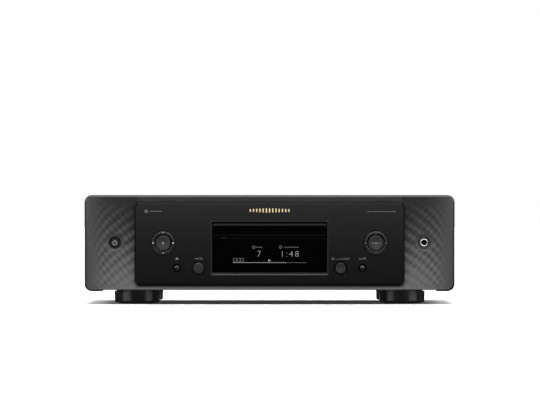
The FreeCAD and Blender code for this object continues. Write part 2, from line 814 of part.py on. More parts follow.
def top_cover():
    """Folded steel cover: top and both sides in one sheet with rounded long edges."""
    y0 = PANEL_BACK
    outer = rectangle(-CASE_HALF, CASE_HALF, 0, CASE_TOP, CASE_CORNER)
    inner = rectangle(SHEET - CASE_HALF, CASE_HALF - SHEET, -10, CASE_TOP - SHEET, CASE_CORNER - SHEET)
    cover = slab_y(outer, y0, COVER_BACK).cut(slab_y(inner, y0 - 1, COVER_BACK + 1))
    cover = cover.cut(block(-WIDTH, WIDTH, y0 - 1, BACK, -20, CASE_SPLIT_Z + 0.2))
    return cover.cut(cover_screws())


def cover_screws():
    """Countersunk screws: three a side through the cover into the base flanges."""
    screws = []
    profile = [
        (0, 0),
        (COVER_SCREW_R + SHEET, 0),
        (COVER_SCREW_R, SHEET),
        (COVER_SCREW_R, 6),
        (0, 6),
    ]
    for y in COVER_SCREW_Y:
        wire = outline(profile, lambda u, v, y=y: FreeCAD.Vector(CASE_HALF - v, y + u, COVER_SCREW_Z))
        axis_point = FreeCAD.Vector(0, y, COVER_SCREW_Z)
        screw = Part.Face(wire).revolve(axis_point, FreeCAD.Vector(1, 0, 0), 360)
        screws += [screw, mirrored(screw)]
    return screws


def rear_panel():
    """Steel rear panel with an opening for every socket and two rows of air slots."""
    y0, y1 = REAR_INNER - 1, REAR_FACE + 1
    panel = slab_y(rectangle(-216.8, 216.8, FLOOR, CASE_TOP - SHEET - 0.2, 6.4), REAR_INNER, REAR_FACE)
    inlet = (
        INLET_X - INLET_HALF_WIDE - 0.2,
        INLET_X + INLET_HALF_WIDE + 0.2,
        INLET_Z - INLET_HALF_HIGH - 0.2,
        INLET_Z + INLET_HALF_HIGH + 0.2,
    )
    optical = [(x - 5.2, x + 5.2, OPTICAL_Z - 5.2, OPTICAL_Z + 5.2) for x in OPTICAL_X]
    cuts = [slab_y(rectangle(*box, 0.5), y0, y1) for box in (inlet, LAN_BOX, USB_BOX, USB_B_BOX, *optical)]
    barrels = [(x, z) for x in RCA_X for z in RCA_Z] + list(COAX_PLACES)
    cuts += [rod_y(x, z, BARREL_R + 0.25, y0, y1) for x, z in barrels]
    cuts += [rod_y(x, z, JACK_R + 0.2, y0, y1) for x, z in JACK_PLACES + ANTENNA_PLACES]
    cuts += [rod_y(x, z, REAR_SCREW_R, y0, y1) for x, z, _ in rear_screw_places()]
    for i in range(6):
        for z in (96.0, 108.0):
            x = -110 + 9 * i
            cuts.append(slab_y(rectangle(x - 3, x + 3, z - 1.5, z + 1.5, 1.4), y0, y1))
    return panel.cut(cuts)


def rear_screw_places():
    """Centres of the screws in the rear panel, each with how far its head stands off the panel."""
    corners = [(x, z, 0) for x in REAR_SCREW_X for z in REAR_SCREW_Z]
    return corners + [(INLET_X + side * INLET_SCREW_REACH, INLET_Z, INLET_FLANGE) for side in (-1, 1)]


def rca_barrel(x, z, tip):
    """One phono socket: an outer barrel with a flange, and the insulator round the middle contact."""
    shell = turned_y(
        [
            (2.9, REAR_INNER - 6),
            (BARREL_R, REAR_INNER - 6),
            (BARREL_R, REAR_FACE),
            (6.0, REAR_FACE),
            (6.0, REAR_FACE + 1.5),
            (BARREL_R, REAR_FACE + 1.5),
            (BARREL_R, tip, 0.5),
            (2.9, tip),
        ],
        x,
        z,
    )
    core = turned_y([(1.6, REAR_INNER - 6), (2.9, REAR_INNER - 6), (2.9, tip - 1), (1.6, tip - 1)], x, z)
    return [shell, core]


def analogue_sockets():
    """Two pairs of gold-plated output sockets."""
    return group(s for x in RCA_X for z in RCA_Z for s in rca_barrel(x, z, BACK))


def digital_sockets():
    """Coaxial, remote and antenna sockets beside the data ports."""
    shapes = []
    for x, z in COAX_PLACES:
        shapes += rca_barrel(x, z, REAR_FACE + 11)
    front = REAR_INNER - 12
    back = REAR_FACE + 1.6
    jack = [(1.8, front), (JACK_R, front), (JACK_R, back), (1.8, back)]
    shapes += [turned_y(jack, x, z) for x, z in JACK_PLACES]
    post = [
        (0.7, REAR_INNER - 5),
        (JACK_R, REAR_INNER - 5),
        (JACK_R, REAR_FACE),
        (5.2, REAR_FACE),
        (5.2, REAR_FACE + 2),
        (JACK_R, REAR_FACE + 2),
        (JACK_R, REAR_FACE + 9.5),
        (2.3, REAR_FACE + 9.5),
        (2.3, REAR_FACE + 3),
        (0.7, REAR_FACE + 3),
    ]
    shapes += [turned_y(post, x, z) for x, z in ANTENNA_PLACES]
    return group(shapes)


def port_shell(box, depth):
    """Thin metal shell of a data port, open to the rear."""
    x0, x1, z0, z1 = box
    gap = 0.2
    shell = block(x0 + gap, x1 - gap, REAR_INNER - depth, REAR_FACE + 0.8, z0 + gap, z1 - gap)
    wall = 0.9
    mouth = block(x0 + wall, x1 - wall, REAR_INNER - depth + 2, REAR_FACE + 2, z0 + wall, z1 - wall)
    return shell.cut(mouth)


def optical_port(x):
    """Optical port: a block with a square mouth."""
    body = block(x - 5, x + 5, REAR_INNER - 12, REAR_FACE + 1.2, OPTICAL_Z - 5, OPTICAL_Z + 5)
    mouth = rectangle(x - 3.6, x + 3.6, OPTICAL_Z - 3.6, OPTICAL_Z + 3.6, 1)
    return body.cut(slab_y(mouth, REAR_FACE - 8, REAR_FACE + 2))


def data_ports():
    """Network port, the two data ports with their contact tongues, and the optical ports."""
    tongues = []
    for box, half_wide, low, high in ((USB_BOX, 5.5, -0.2, 1.6), (USB_B_BOX, 2.8, -1.6, 1.6)):
        x = (box[0] + box[1]) / 2
        z = (box[2] + box[3]) / 2
        tongue = block(x - half_wide, x + half_wide, REAR_INNER - 13, REAR_FACE - 1, z + low, z + high)
        tongues.append(joined(port_shell(box, 14), tongue))
    return group([port_shell(LAN_BOX, 18), *tongues, *[optical_port(x) for x in OPTICAL_X]])


def mains_inlet():
    """Mains inlet: a flanged moulding with a deep shaped well and two flat blades."""
    x, z = INLET_X, INLET_Z
    wide, high = INLET_HALF_WIDE, INLET_HALF_HIGH
    body = slab_y(rectangle(x - wide, x + wide, z - high, z + high, 1), REAR_INNER - 22, REAR_FACE + 0.1)
    flange = slab_y(rectangle(x - 24, x + 24, z - 12, z + 12, 5), REAR_FACE, REAR_FACE + INLET_FLANGE)
    well = [
        (x - 12, z - 8, 1),
        (x + 12, z - 8, 1),
        (x + 12, z + 3, 0.5),
        (x + 7.5, z + 8, 0.5),
        (x - 7.5, z + 8, 0.5),
        (x - 12, z + 3, 0.5),
    ]
    cuts = [slab_y(well, REAR_FACE - 15, REAR_FACE + 5)]
    blades = []
    for side in (-1, 1):
        cuts.append(rod_y(x + side * INLET_SCREW_REACH, z, REAR_SCREW_R, REAR_FACE - 1, REAR_FACE + 4))
        middle = x + side * 7
        blades.append(block(middle - 1, middle + 1, REAR_FACE - 16, REAR_FACE - 2.5, z - 3, z + 1))
    return joined(joined(body, flange).cut(cuts), *blades)


def rear_screws():
    """Pan-head screws of the rear panel and the mains inlet."""
    screws = []
    for x, z, out in rear_screw_places():
        seat = REAR_FACE + out
        profile = [
            (0, seat + 2),
            (2.9, seat + 2, 0.7),
            (2.9, seat),
            (REAR_SCREW_R, seat),
            (REAR_SCREW_R, seat - 6),
            (0, seat - 6),
        ]
        screws.append(turned_y(profile, x, z))
    return screws


# Disc loader

def disc_tray():
    """Disc tray: a seat for a large and a small disc, a slot for the drive, side runners and a rack."""
    body = block(-TRAY_HALF, TRAY_HALF, TRAY_FRONT_BACK, TRAY_BACK, TRAY_LOW, TRAY_HIGH)
    front_wall = block(-65.5, 65.5, TRAY_FRONT_BACK, TRAY_FRONT_BACK + 4, 81.2, 94.6)
    runners = [
        block(side * 65 - 1, side * 65 + 1, TRAY_FRONT_BACK + 4, TRAY_BACK, RUNNER_LOW, RUNNER_HIGH)
        for side in (-1, 1)
    ]
    tray = joined(body, front_wall, *runners)
    hollow = block(-61, 61, TRAY_FRONT_BACK + 6, TRAY_BACK - 4, TRAY_LOW - 1, TRAY_LOW + 2.5)
    drive_slot = slab_z(rectangle(-25, 25, DISC_Y - 24, TRAY_BACK + 30, 12), TRAY_LOW - 1, TRAY_HIGH + 1)
    slot_wall = slab_z(rectangle(-27, 27, DISC_Y - 26, TRAY_BACK + 32, 14), TRAY_LOW - 1, TRAY_LOW + 3)
    rack_zone = block(RACK_X - 5, -42, TRAY_FRONT_BACK + 6, TRAY_BACK - 4, TRAY_LOW, TRAY_LOW + 3)
    seats = [
        turned_z([(0, 89.5), (60.4, 89.5), (61.6, TRAY_HIGH + 1), (0, TRAY_HIGH + 1)], 0, DISC_Y),
        rod_z(0, DISC_Y, 40.8, SMALL_SEAT_Z, TRAY_HIGH),
    ]
    finger_gaps = [
        block(x - 9, x + 9, DISC_Y + y - 6, DISC_Y + y + 6, SMALL_SEAT_Z, TRAY_HIGH + 1)
        for x in (-46, 46)
        for y in (-57, 57)
    ]
    tray = tray.cut([hollow.cut([slot_wall, rack_zone]), *seats])
    tray = tray.cut([drive_slot, *finger_gaps])
    return joined(tray, rack())


def rack():
    """Straight rack under the tray's left side. A gap between two teeth faces the pinion when it is shut."""
    pitch = math.pi * RACK_MODULE
    add = 0.9 * RACK_MODULE
    ded = 1.2 * RACK_MODULE
    slope = math.tan(PRESSURE_ANGLE)
    half = pitch / 4 - BACKLASH
    first = -3
    last = int((TRAY_TRAVEL + 12) / pitch)
    points = [(RACK_X - 4, DRIVE_GEAR_Y + first * pitch)]
    for i in range(first, last):
        y = DRIVE_GEAR_Y + (i + 0.5) * pitch
        points.append((RACK_X - ded, y - half - ded * slope))
        points.append((RACK_X + add, y - half + add * slope))
        points.append((RACK_X + add, y + half - add * slope))
        points.append((RACK_X - ded, y + half + ded * slope))
    points.append((RACK_X - 4, DRIVE_GEAR_Y + last * pitch))
    return slab_z(points, TRAY_LOW - 4.2, TRAY_LOW)


def tray_front():
    """Front strip of the tray, seen in the window: a flat band between two grooves, with a bevel above it
    and a lip that leans back below it."""
    half = WINDOW_HALF - 1.0
    face = PLATE_FACE + 1.0
    groove = 0.6
    profile = [
        (TRAY_FRONT_BACK, TRAY_FRONT_LOW),
        (TRAY_FRONT_BACK, TRAY_FRONT_HIGH),
        (face + 1.2, TRAY_FRONT_HIGH),
        (face, TRAY_FRONT_HIGH - 2.3),
        (face, TRAY_FRONT_HIGH - 2.7),
        (face + groove, TRAY_FRONT_HIGH - 2.9),
        (face, TRAY_FRONT_HIGH - 3.3),
        (face, TRAY_FRONT_LOW + 4.4),
        (face + groove, TRAY_FRONT_LOW + 4.0),
        (face, TRAY_FRONT_LOW + 3.6),
        (face + 1.1, TRAY_FRONT_LOW),
    ]
    return slab_x(profile, -half, half)


def loader_chassis():
    """Moulded loader frame: side walls with grooves for the tray, an open floor, and seats for the drive."""
    floor = block(-LOADER_HALF, LOADER_HALF, LOADER_FRONT, LOADER_BACK, LOADER_LOW, LOADER_LOW + 3)
    walls = [
        block(side * 69 - 2, side * 69 + 2, LOADER_FRONT, LOADER_BACK, LOADER_LOW, LOADER_HIGH)
        for side in (-1, 1)
    ]
    rear_wall = block(-LOADER_HALF, LOADER_HALF, LOADER_BACK - 3, LOADER_BACK, LOADER_LOW, LOADER_HIGH)
    lips = []
    for side in (-1, 1):
        for z0, z1 in ((RUNNER_LOW - 2.3, RUNNER_LOW - 0.3), (RUNNER_HIGH + 0.3, RUNNER_HIGH + 2.3)):
            lips.append(block(side * 66.1 - 1.6, side * 66.1 + 1.6, LOADER_FRONT, LOADER_BACK - 8, z0, z1))
    hinge_ears = [
        block(x - 2, x + 2, HINGE_Y - 5, HINGE_Y + 5, LOADER_LOW, HINGE_Z + 4) for x in (-38.5, 38.5)
    ]
    axle_posts = [
        rod_z(DRIVE_GEAR_X, DRIVE_GEAR_Y, AXLE_R, LOADER_LOW, 82.5),
        rod_z(DRIVE_GEAR_X, DRIVE_GEAR_Y, 4.0, LOADER_LOW, DRIVE_GEAR_LOW - 0.2),
        rod_z(PULLEY_GEAR_X, DRIVE_GEAR_Y, AXLE_R, LOADER_LOW, 79.0),
        rod_z(PULLEY_GEAR_X, DRIVE_GEAR_Y, 4.0, LOADER_LOW, PULLEY_LOW - 0.2),
    ]
    shape = joined(floor, *walls, rear_wall, *lips, *hinge_ears, *axle_posts)
    openings = [
        slab_z(rectangle(-36.2, 36.2, -140, HINGE_Y + 6, 4), LOADER_LOW - 1, LOADER_LOW + 4),
        rod_z(MOTOR_X, DRIVE_GEAR_Y, 3.2, LOADER_LOW - 1, LOADER_LOW + 4),
        rod_x(HINGE_Y, HINGE_Z, HINGE_R + RUN, -50, 50),
    ]
    return shape.cut(openings)


def gear_wire(teeth, module, phase, z):
    """Closed wire of an involute gear about the origin. One tooth is centred on the phase angle."""
    pitch_r = module * teeth / 2
    base_r = pitch_r * math.cos(PRESSURE_ANGLE)
    tip_r = pitch_r + 0.9 * module
    root_r = pitch_r - 1.2 * module
    involute = math.tan(PRESSURE_ANGLE) - PRESSURE_ANGLE
    half_tooth = math.pi / (2 * teeth) - BACKLASH / pitch_r

    def flank_point(radius, side, middle):
        roll = math.acos(min(1.0, base_r / radius))
        angle = half_tooth + involute - (math.tan(roll) - roll)
        return FreeCAD.Vector(
            radius * math.cos(middle + side * angle), radius * math.sin(middle + side * angle), z
        )

    start_r = max(base_r, root_r + 0.05 * module)
    edges = []
    corners = []
    for i in range(teeth):
        middle = phase + 2 * math.pi * i / teeth
        radii = [start_r + (tip_r - start_r) * k / 3 for k in range(4)]
        rise = [flank_point(r, -1, middle) for r in radii]
        fall = [flank_point(r, 1, middle) for r in reversed(radii)]
        foot_in = FreeCAD.Vector(rise[0]) * (root_r / start_r)
        foot_out = FreeCAD.Vector(fall[-1]) * (root_r / start_r)
        foot_in.z = z
        foot_out.z = z
        for points in (rise, fall):
            curve = Part.BSplineCurve()
            curve.interpolate(points)
            edges.append(curve.toShape())
        edges.append(Part.makeLine(rise[-1], fall[0]))
        edges.append(Part.makeLine(foot_in, rise[0]))
        edges.append(Part.makeLine(fall[-1], foot_out))
        corners.append((foot_in, foot_out))
    for i in range(teeth):
        edges.append(Part.makeLine(corners[i][1], corners[(i + 1) % teeth][0]))
    return Part.Wire(Part.__sortEdges__(edges))


def gear(teeth, module, phase, z0, z1, x, y):
    """Spur gear from z0 to z1 with its axis at (x, y)."""
    face = Part.Face(gear_wire(teeth, module, phase, z0))
    solid = face.extrude(FreeCAD.Vector(0, 0, z1 - z0))
    return solid.translate(FreeCAD.Vector(x, y, 0))


def drive_gear():
    """Large gear with the pinion that drives the rack, on a fixed post."""
    low = DRIVE_GEAR_LOW
    wheel = gear(DRIVE_GEAR_TEETH, GEAR_MODULE, 0, low, low + 3.8, DRIVE_GEAR_X, DRIVE_GEAR_Y)
    pinion = gear(PINION_TEETH, RACK_MODULE, 0, low + 3.8, low + 8.6, DRIVE_GEAR_X, DRIVE_GEAR_Y)
    bore = rod_z(DRIVE_GEAR_X, DRIVE_GEAR_Y, AXLE_R + RUN, low - 1, low + 9)
    return joined(wheel, pinion).cut(bore)


def pulley(radius, bore, x):
    """Grooved pulley for the belt, with its axis at x."""
    low, high, rim = PULLEY_LOW, PULLEY_HIGH, radius + 1.4
    return turned_z(
        [(bore, low), (rim, low), (radius, low + 1.6), (radius, high - 1.6), (rim, high), (bore, high)],
        x,
        DRIVE_GEAR_Y,
    )


def pulley_gear():
    """Belt pulley with the small gear that drives the large one."""
    x, y, high = PULLEY_GEAR_X, DRIVE_GEAR_Y, PULLEY_HIGH
    half_turn = math.pi / PULLEY_GEAR_TEETH
    small = gear(PULLEY_GEAR_TEETH, GEAR_MODULE, half_turn, high, high + 6.4, x, y)
    bore = rod_z(x, y, AXLE_R + RUN, high - 1, high + 7)
    return joined(small.cut(bore), pulley(PULLEY_R, AXLE_R + RUN, x))


def motor_pulley():
    """Small pulley on the loading motor's shaft, with the shaft."""
    shaft = rod_z(MOTOR_X, DRIVE_GEAR_Y, MOTOR_SHAFT_R, 58, PULLEY_LOW)
    return joined(pulley(MOTOR_PULLEY_R, 0, MOTOR_X), shaft)


def loading_motor():
    """Loading motor hung under the loader floor."""
    can = turned_z([(0, 40), (10, 40, 1), (10, LOADER_LOW, 1), (0, LOADER_LOW)], MOTOR_X, DRIVE_GEAR_Y)
    boss = rod_z(MOTOR_X, DRIVE_GEAR_Y, 3.0, LOADER_LOW, LOADER_LOW + 2)
    return joined(can, boss).cut(rod_z(MOTOR_X, DRIVE_GEAR_Y, MOTOR_SHAFT_R + RUN, 57.5, 70))


def belt_face(grow, z):
    """Flat face bounded by two arcs and the two lines that touch them, round both pulleys."""
    r1 = PULLEY_R + grow
    r2 = MOTOR_PULLEY_R + grow
    lean = math.acos((r1 - r2) / BELT_REACH)
    x1, x2, y = PULLEY_GEAR_X, MOTOR_X, DRIVE_GEAR_Y

    def at(x, radius, angle):
        return FreeCAD.Vector(x + radius * math.cos(angle), y + radius * math.sin(angle), z)

    edges = [
        Part.Arc(at(x1, r1, lean), at(x1, r1, math.pi), at(x1, r1, -lean)).toShape(),
        Part.makeLine(at(x1, r1, -lean), at(x2, r2, -lean)),
        Part.Arc(at(x2, r2, -lean), at(x2, r2, 0), at(x2, r2, lean)).toShape(),
        Part.makeLine(at(x2, r2, lean), at(x1, r1, lean)),
    ]
    return Part.Face(Part.Wire(edges))


def loading_belt():
    """Square rubber belt round both pulleys."""
    tall = FreeCAD.Vector(0, 0, BELT_THICK)
    z = (PULLEY_LOW + PULLEY_HIGH - BELT_THICK) / 2
    return belt_face(RUN + BELT_THICK, z).extrude(tall).cut(belt_face(RUN, z).extrude(tall))


def traverse_chassis():
    """Hinged plate that carries the disc drive: its front end drops to let the tray out."""
    low = TRAVERSE_TOP - TRAVERSE_THICK
    plate = slab_z(rectangle(-TRAVERSE_HALF, TRAVERSE_HALF, -136, HINGE_Y + 4, 3), low, TRAVERSE_TOP)
    walls = [
        block(side * 33 - 1, side * 33 + 1, -134, HINGE_Y + 4, low - 5, low) for side in (-1, 1)
    ]
    lugs = []
    for x in (-ROD_X, ROD_X):
        for y in (-105, -31):
            lugs.append(block(x - 3, x + 3, y - 2, y + 2, ROD_Z - 3, low))
    screw_lug = block(SCREW_X - 2.5, SCREW_X + 2.0, -106, -103, SCREW_Z - 2.5, low)
    hinge = rod_x(HINGE_Y, HINGE_Z, HINGE_R, -40, 40)
    knuckle = block(-TRAVERSE_HALF, TRAVERSE_HALF, HINGE_Y - 3.5, HINGE_Y + 3.5, HINGE_Z - 3.5, low)
    shape = joined(plate, *walls, *lugs, screw_lug, knuckle, hinge)
    cuts = [
        slab_z(rectangle(-22.5, 22.5, -102, -34, 2), low - 1, TRAVERSE_TOP + 1),
        rod_z(0, DISC_Y, 2.5, low - 1, TRAVERSE_TOP + 1),
        rod_y(SCREW_X, SCREW_Z, SCREW_R + RUN, -107, -102),
    ]
    for x in (-ROD_X, ROD_X):
        cuts.append(rod_y(x, ROD_Z, ROD_R, -107.5, -28.5))
    return shape.cut(cuts)


def sled_rods():
    """Two polished rods that the pickup slides on."""
    return group(rod_y(x, ROD_Z, ROD_R, -107, -29) for x in (-ROD_X, ROD_X))


def spindle_motor():
    """Flat motor under the traverse plate that spins the disc."""
    low = TRAVERSE_TOP - TRAVERSE_THICK
    bore = SPINDLE_R + RUN
    can = turned_z([(bore, 70.5), (12.5, 70.5, 1), (12.5, low), (bore, low)], 0, DISC_Y)
    cap = rod_z(0, DISC_Y, 4.0, 69.0, 70.5)
    return joined(can, cap)


def turntable():
    """Disc seat with its centring cone, on the spindle shaft."""
    return turned_z(
        [
            (0, 70.6),
            (SPINDLE_R, 70.6),
            (SPINDLE_R, 85.0),
            (5.0, 85.0),
            (5.0, 88.2),
            (14.5, 88.2),
            (14.5, 90.6),
            (7.3, 90.6),
            (7.3, 91.8),
            (5.0, 93.4),
            (0, 93.4),
        ],
        0,
        DISC_Y,
    )


def pickup_sled():
    """Optical pickup: a cast body on both rods, the lens barrel, and a tongue that the feed screw drives."""
    bearing = ROD_R + RUN
    body = block(-21, 21, -101, -73, ROD_Z - 3.5, ROD_Z + 3.5)
    upper = block(-14, 14, -99, -75, ROD_Z + 3.5, 85.4)
    barrel = turned_z([(0, 85.4), (5.5, 85.4), (5.5, 86.6), (4.0, 87.4), (0, 87.4)], 0, -91)
    tongue = block(21, SCREW_X - 1.6, -90, -84, SCREW_Z - 1.5, SCREW_Z + 1.5)
    sled = joined(body, upper, barrel, tongue)
    return sled.cut([rod_y(x, ROD_Z, bearing, -110, -60) for x in (-ROD_X, ROD_X)])


def feed_screw():
    """Feed screw beside the rods, turned by its motor."""
    return rod_y(SCREW_X, SCREW_Z, SCREW_R, -106.5, -44)


def feed_motor():
    """Feed motor at the rear end of the screw."""
    low = TRAVERSE_TOP - TRAVERSE_THICK
    can = rod_y(SCREW_X, SCREW_Z, 4.2, -48, -30)
    strap = block(SCREW_X - 4, SCREW_X + 3, -46, -32, SCREW_Z, low)
    shape = joined(can, strap)
    return shape.cut(rod_y(SCREW_X, SCREW_Z, SCREW_R + RUN, -50, -42))


def clamp_bridge():
    """Pressed steel bridge over the tray, with the seat in which the clamp hangs."""
    plate = slab_z(rectangle(-LOADER_HALF, LOADER_HALF, -146, -90, 4), LOADER_HIGH, LOADER_HIGH + SHEET)
    ribs = [block(-60, 60, y, y + SHEET, LOADER_HIGH + SHEET, LOADER_HIGH + 5) for y in (-146, -91.5)]
    return joined(plate, *ribs).cut(rod_z(0, DISC_Y, 14.0, LOADER_HIGH - 1, LOADER_HIGH + 3))


def disc_clamp():
    """Magnetic disc clamp that hangs in the bridge by its upper flange."""
    return turned_z(
        [
            (0, 94.3),
            (13.0, 94.3, 0.5),
            (13.0, LOADER_HIGH + SHEET + RUN),
            (17.0, LOADER_HIGH + SHEET + RUN),
            (17.0, LOADER_HIGH + 3.0, 0.5),
            (0, LOADER_HIGH + 3.0),
        ],
        0,
        DISC_Y,
    )


def loader_brackets():
    """Folded steel legs that carry the loader on the base."""
    legs = []
    for y0, y1 in ((-164, -140), (-16, 8)):
        for side in (-1, 1):
            foot_plate = block(side * 79 - 8, side * 79 + 8, y0, y1, FLOOR, FLOOR + SHEET)
            near = LOADER_HALF if side > 0 else -LOADER_HALF - SHEET
            upright = block(near, near + SHEET, y0, y1, FLOOR, 80)
            legs.append(joined(foot_plate, upright))
    return group(legs)


# Power supply and electronics

def power_transformer():
    """Ring-core mains transformer: the wound ring with rounded edges."""
    low = FLOOR + 3
    high = FLOOR + TRANSFORMER_HIGH
    return turned_z([(16, low, 6), (50, low, 9), (50, high, 9), (16, high, 6)], TRANSFORMER_X, TRANSFORMER_Y)


def transformer_mount():
    """Pad, pressed dish and bolt that hold the transformer down."""
    top = FLOOR + TRANSFORMER_HIGH
    profiles = [
        [(4, FLOOR), (46, FLOOR), (46, FLOOR + 3), (4, FLOOR + 3)],
        [(4, top), (38, top), (40, top + 2), (4, top + 2)],
        [(0, FLOOR), (4, FLOOR), (4, top + 2), (7, top + 2), (7, top + 7), (0, top + 7)],
    ]
    return group(turned_z(profile, TRANSFORMER_X, TRANSFORMER_Y) for profile in profiles)


def board_with_posts(bounds):
    """Circuit board on four spacers."""
    x0, x1, y0, y1 = bounds
    board = block(x0, x1, y0, y1, BOARD_Z, BOARD_TOP)
    posts = [rod_z(x, y, 3, FLOOR, BOARD_Z) for x in (x0 + 6, x1 - 6) for y in (y0 + 6, y1 - 6)]
    return joined(board, *posts)


def power_board():
    """Power supply board with its fuse, line filter, connectors and finned heat sink."""
    z = BOARD_TOP
    parts = [
        block(-205, -180, 130, 155, z, z + 18),
        block(-172, -150, 132, 152, z, z + 14),
        block(-205, -160, -14, -6, z, z + 9),
        block(-140, -100, 158, 166, z, z + 9),
    ]
    sink_back = block(-200, -197, 20, 110, z, z + 40)
    fins = [block(-197, -176, 20 + 10.8 * i, 21.8 + 10.8 * i, z, z + 40) for i in range(9)]
    return joined(board_with_posts(POWER_BOARD), *parts, sink_back, *fins)


def filter_capacitors():
    """Reservoir capacitors of the power supply."""
    profile = [(0, BOARD_TOP), (12.5, BOARD_TOP), (12.5, BOARD_TOP + 42, 1.2), (0, BOARD_TOP + 42)]
    return group(turned_z(profile, x, y) for x in (-120, -92) for y in (20, 52, 84))


def audio_board():
    """Output board with its film capacitors, relays and the moulded block of the output sockets."""
    z = BOARD_TOP
    parts = [block(104 + 24 * i, 120 + 24 * i, 120, 132, z, z + 16) for i in range(4)]
    parts += [rod_z(108 + 22 * i, y, 6, z, z + 20) for i in range(5) for y in (60, 90)]
    block_x0 = RCA_X[0] - 10
    block_x1 = RCA_X[1] + 10
    socket_block = block(block_x0, block_x1, REAR_INNER - 14, REAR_INNER, z, RCA_Z[1] + 10)
    holes = [rod_y(x, z, BARREL_R + RUN, REAR_INNER - 6, REAR_INNER) for x in RCA_X for z in RCA_Z]
    return joined(board_with_posts(AUDIO_BOARD), *parts, socket_block.cut(holes))


def converter_shield():
    """Plated cover over the converter stage of the output board."""
    z = BOARD_TOP
    return block(100, 200, -50, 40, z, z + 20).cut(block(101, 199, -49, 39, z - 1, z + 19))


def digital_board():
    """Network and control board behind the loader, with its screened network module."""
    z = BOARD_TOP
    parts = [
        block(-20, 12, 80, 112, z, z + 3),
        block(30, 50, 84, 104, z, z + 2.5),
        block(-60, -20, 130, 136, z, z + 9),
        block(-50, 60, REAR_INNER - 17, REAR_INNER - 12.5, z, 40),
        block(-74, -34, 70, 120, z, z + 8),
    ]
    return joined(board_with_posts(DIGITAL_BOARD), *parts)


def build():
    """Every piece by its node name."""
    return {
        "left_wing_panel": left_wing_panel(),
        "right_wing_panel": right_wing_panel(),
        "centre_backing_panel": centre_backing_panel(),
        "face_plate": face_plate(),
        "display_lens": display_lens(),
        "display_holder": display_holder(),
        "display_module": display_module(),
        "transport_ring": ring_body(-RING_X),
        "transport_ring_carrier": ring_carrier(-RING_X),
        "play_button": centre_button(-RING_X),
        "cursor_ring": ring_body(RING_X),
        "cursor_ring_carrier": ring_carrier(RING_X),
        "enter_button": centre_button(RING_X),
        "eject_button": small_button(-SMALL_BUTTON_X),
        "back_button": small_button(SMALL_BUTTON_X),
        "input_button": input_button(),
        "phones_knob": phones_knob(),
        "phones_potentiometer": phones_potentiometer(),
        "control_housings": group([control_housing(-1), control_housing(1)]),
        "control_boards": group([control_board(-1), control_board(1), power_switch()]),
        "power_collar": power_collar(),
        "power_button": power_button(),
        "headphone_socket": headphone_socket(),
        "headphone_ferrule": headphone_ferrule(),
        "front_subframe": front_subframe(),
        "chassis_base": chassis_base(),
        "top_cover": top_cover(),
        "rear_panel": rear_panel(),
        "case_screws": group(cover_screws() + rear_screws() + foot_screws()),
        "feet": group(foot(x, y) for x, y in foot_places()),
        "foot_pads": group(foot_pad(x, y) for x, y in foot_places()),
        "analogue_sockets": analogue_sockets(),
        "digital_sockets": digital_sockets(),
        "data_ports": data_ports(),
        "mains_inlet": mains_inlet(),
        "disc_tray": disc_tray(),
        "tray_front": tray_front(),
        "loader_chassis": loader_chassis(),
        "drive_gear": drive_gear(),
        "pulley_gear": pulley_gear(),
        "motor_pulley": motor_pulley(),
        "loading_motor": loading_motor(),
        "loading_belt": loading_belt(),
        "traverse_chassis": traverse_chassis(),
        "sled_rods": sled_rods(),
        "spindle_motor": spindle_motor(),
        "turntable": turntable(),
        "pickup_sled": pickup_sled(),
        "feed_screw": feed_screw(),
        "feed_motor": feed_motor(),
        "clamp_bridge": clamp_bridge(),
        "disc_clamp": disc_clamp(),
        "loader_brackets": loader_brackets(),
        "power_transformer": power_transformer(),
        "transformer_mount": transformer_mount(),
        "power_board": power_board(),
        "filter_capacitors": filter_capacitors(),
        "audio_board": audio_board(),
        "converter_shield": converter_shield(),
        "digital_board": digital_board(),
    }


def main():
    """Write one file per piece."""
    os.makedirs("parts", exist_ok=True)
    for name, shape in build().items():
        solids = shape.Solids
        print(f"{name:26s} solids {len(solids):2d} faces {len(shape.Faces):4d} valid {shape.isValid()} "
              f"volume {shape.Volume / 1000:9.2f} cm3")
        shape.exportStep(f"parts/{name}.step")


main()
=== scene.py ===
"""Looks of a full-width black disc player: its finishes, lit display, printed marks, relief and studio.

Lengths in the classes are millimetres in the player's own frame: X to the viewer's right, Y from front
to back, Z up from the table. They become metres where a mesh or a light is made.
"""

import logging
import math
from collections.abc import Callable
from dataclasses import dataclass, field, replace
from enum import Enum

import bpy
from mathutils import Matrix, Vector


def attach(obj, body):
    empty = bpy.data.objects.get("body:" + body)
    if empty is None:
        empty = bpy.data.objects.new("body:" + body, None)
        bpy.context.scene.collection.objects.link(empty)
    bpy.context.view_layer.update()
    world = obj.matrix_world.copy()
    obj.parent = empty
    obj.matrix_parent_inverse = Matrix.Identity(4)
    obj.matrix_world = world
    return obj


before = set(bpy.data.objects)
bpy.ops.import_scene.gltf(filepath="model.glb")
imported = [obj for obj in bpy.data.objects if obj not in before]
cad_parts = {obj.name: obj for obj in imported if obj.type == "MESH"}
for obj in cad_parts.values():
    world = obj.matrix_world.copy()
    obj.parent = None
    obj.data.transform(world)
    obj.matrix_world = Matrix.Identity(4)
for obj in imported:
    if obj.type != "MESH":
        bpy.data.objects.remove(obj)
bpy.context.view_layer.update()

LOG = logging.getLogger("disc_player")
MM = 0.001
# Vertices nearer to each other than this, in metres, are merged
DOUBLE = 1e-7
# A flat mark, a drill and the camera stand upright after this turn
UPRIGHT = (math.pi / 2, 0.0, 0.0)
# Middles of the round controls on the front, as X and Z
TRANSPORT_CENTRE = (-127.3, 72.7)
CURSOR_CENTRE = (127.3, 72.7)
POWER_CENTRE = (-185.1, 73.1)
PHONES_CENTRE = (185.1, 73.1)
# Span that a noise pattern, which runs from 0 to 1, seldom leaves
USUAL_SPAN = (0.25, 0.75)
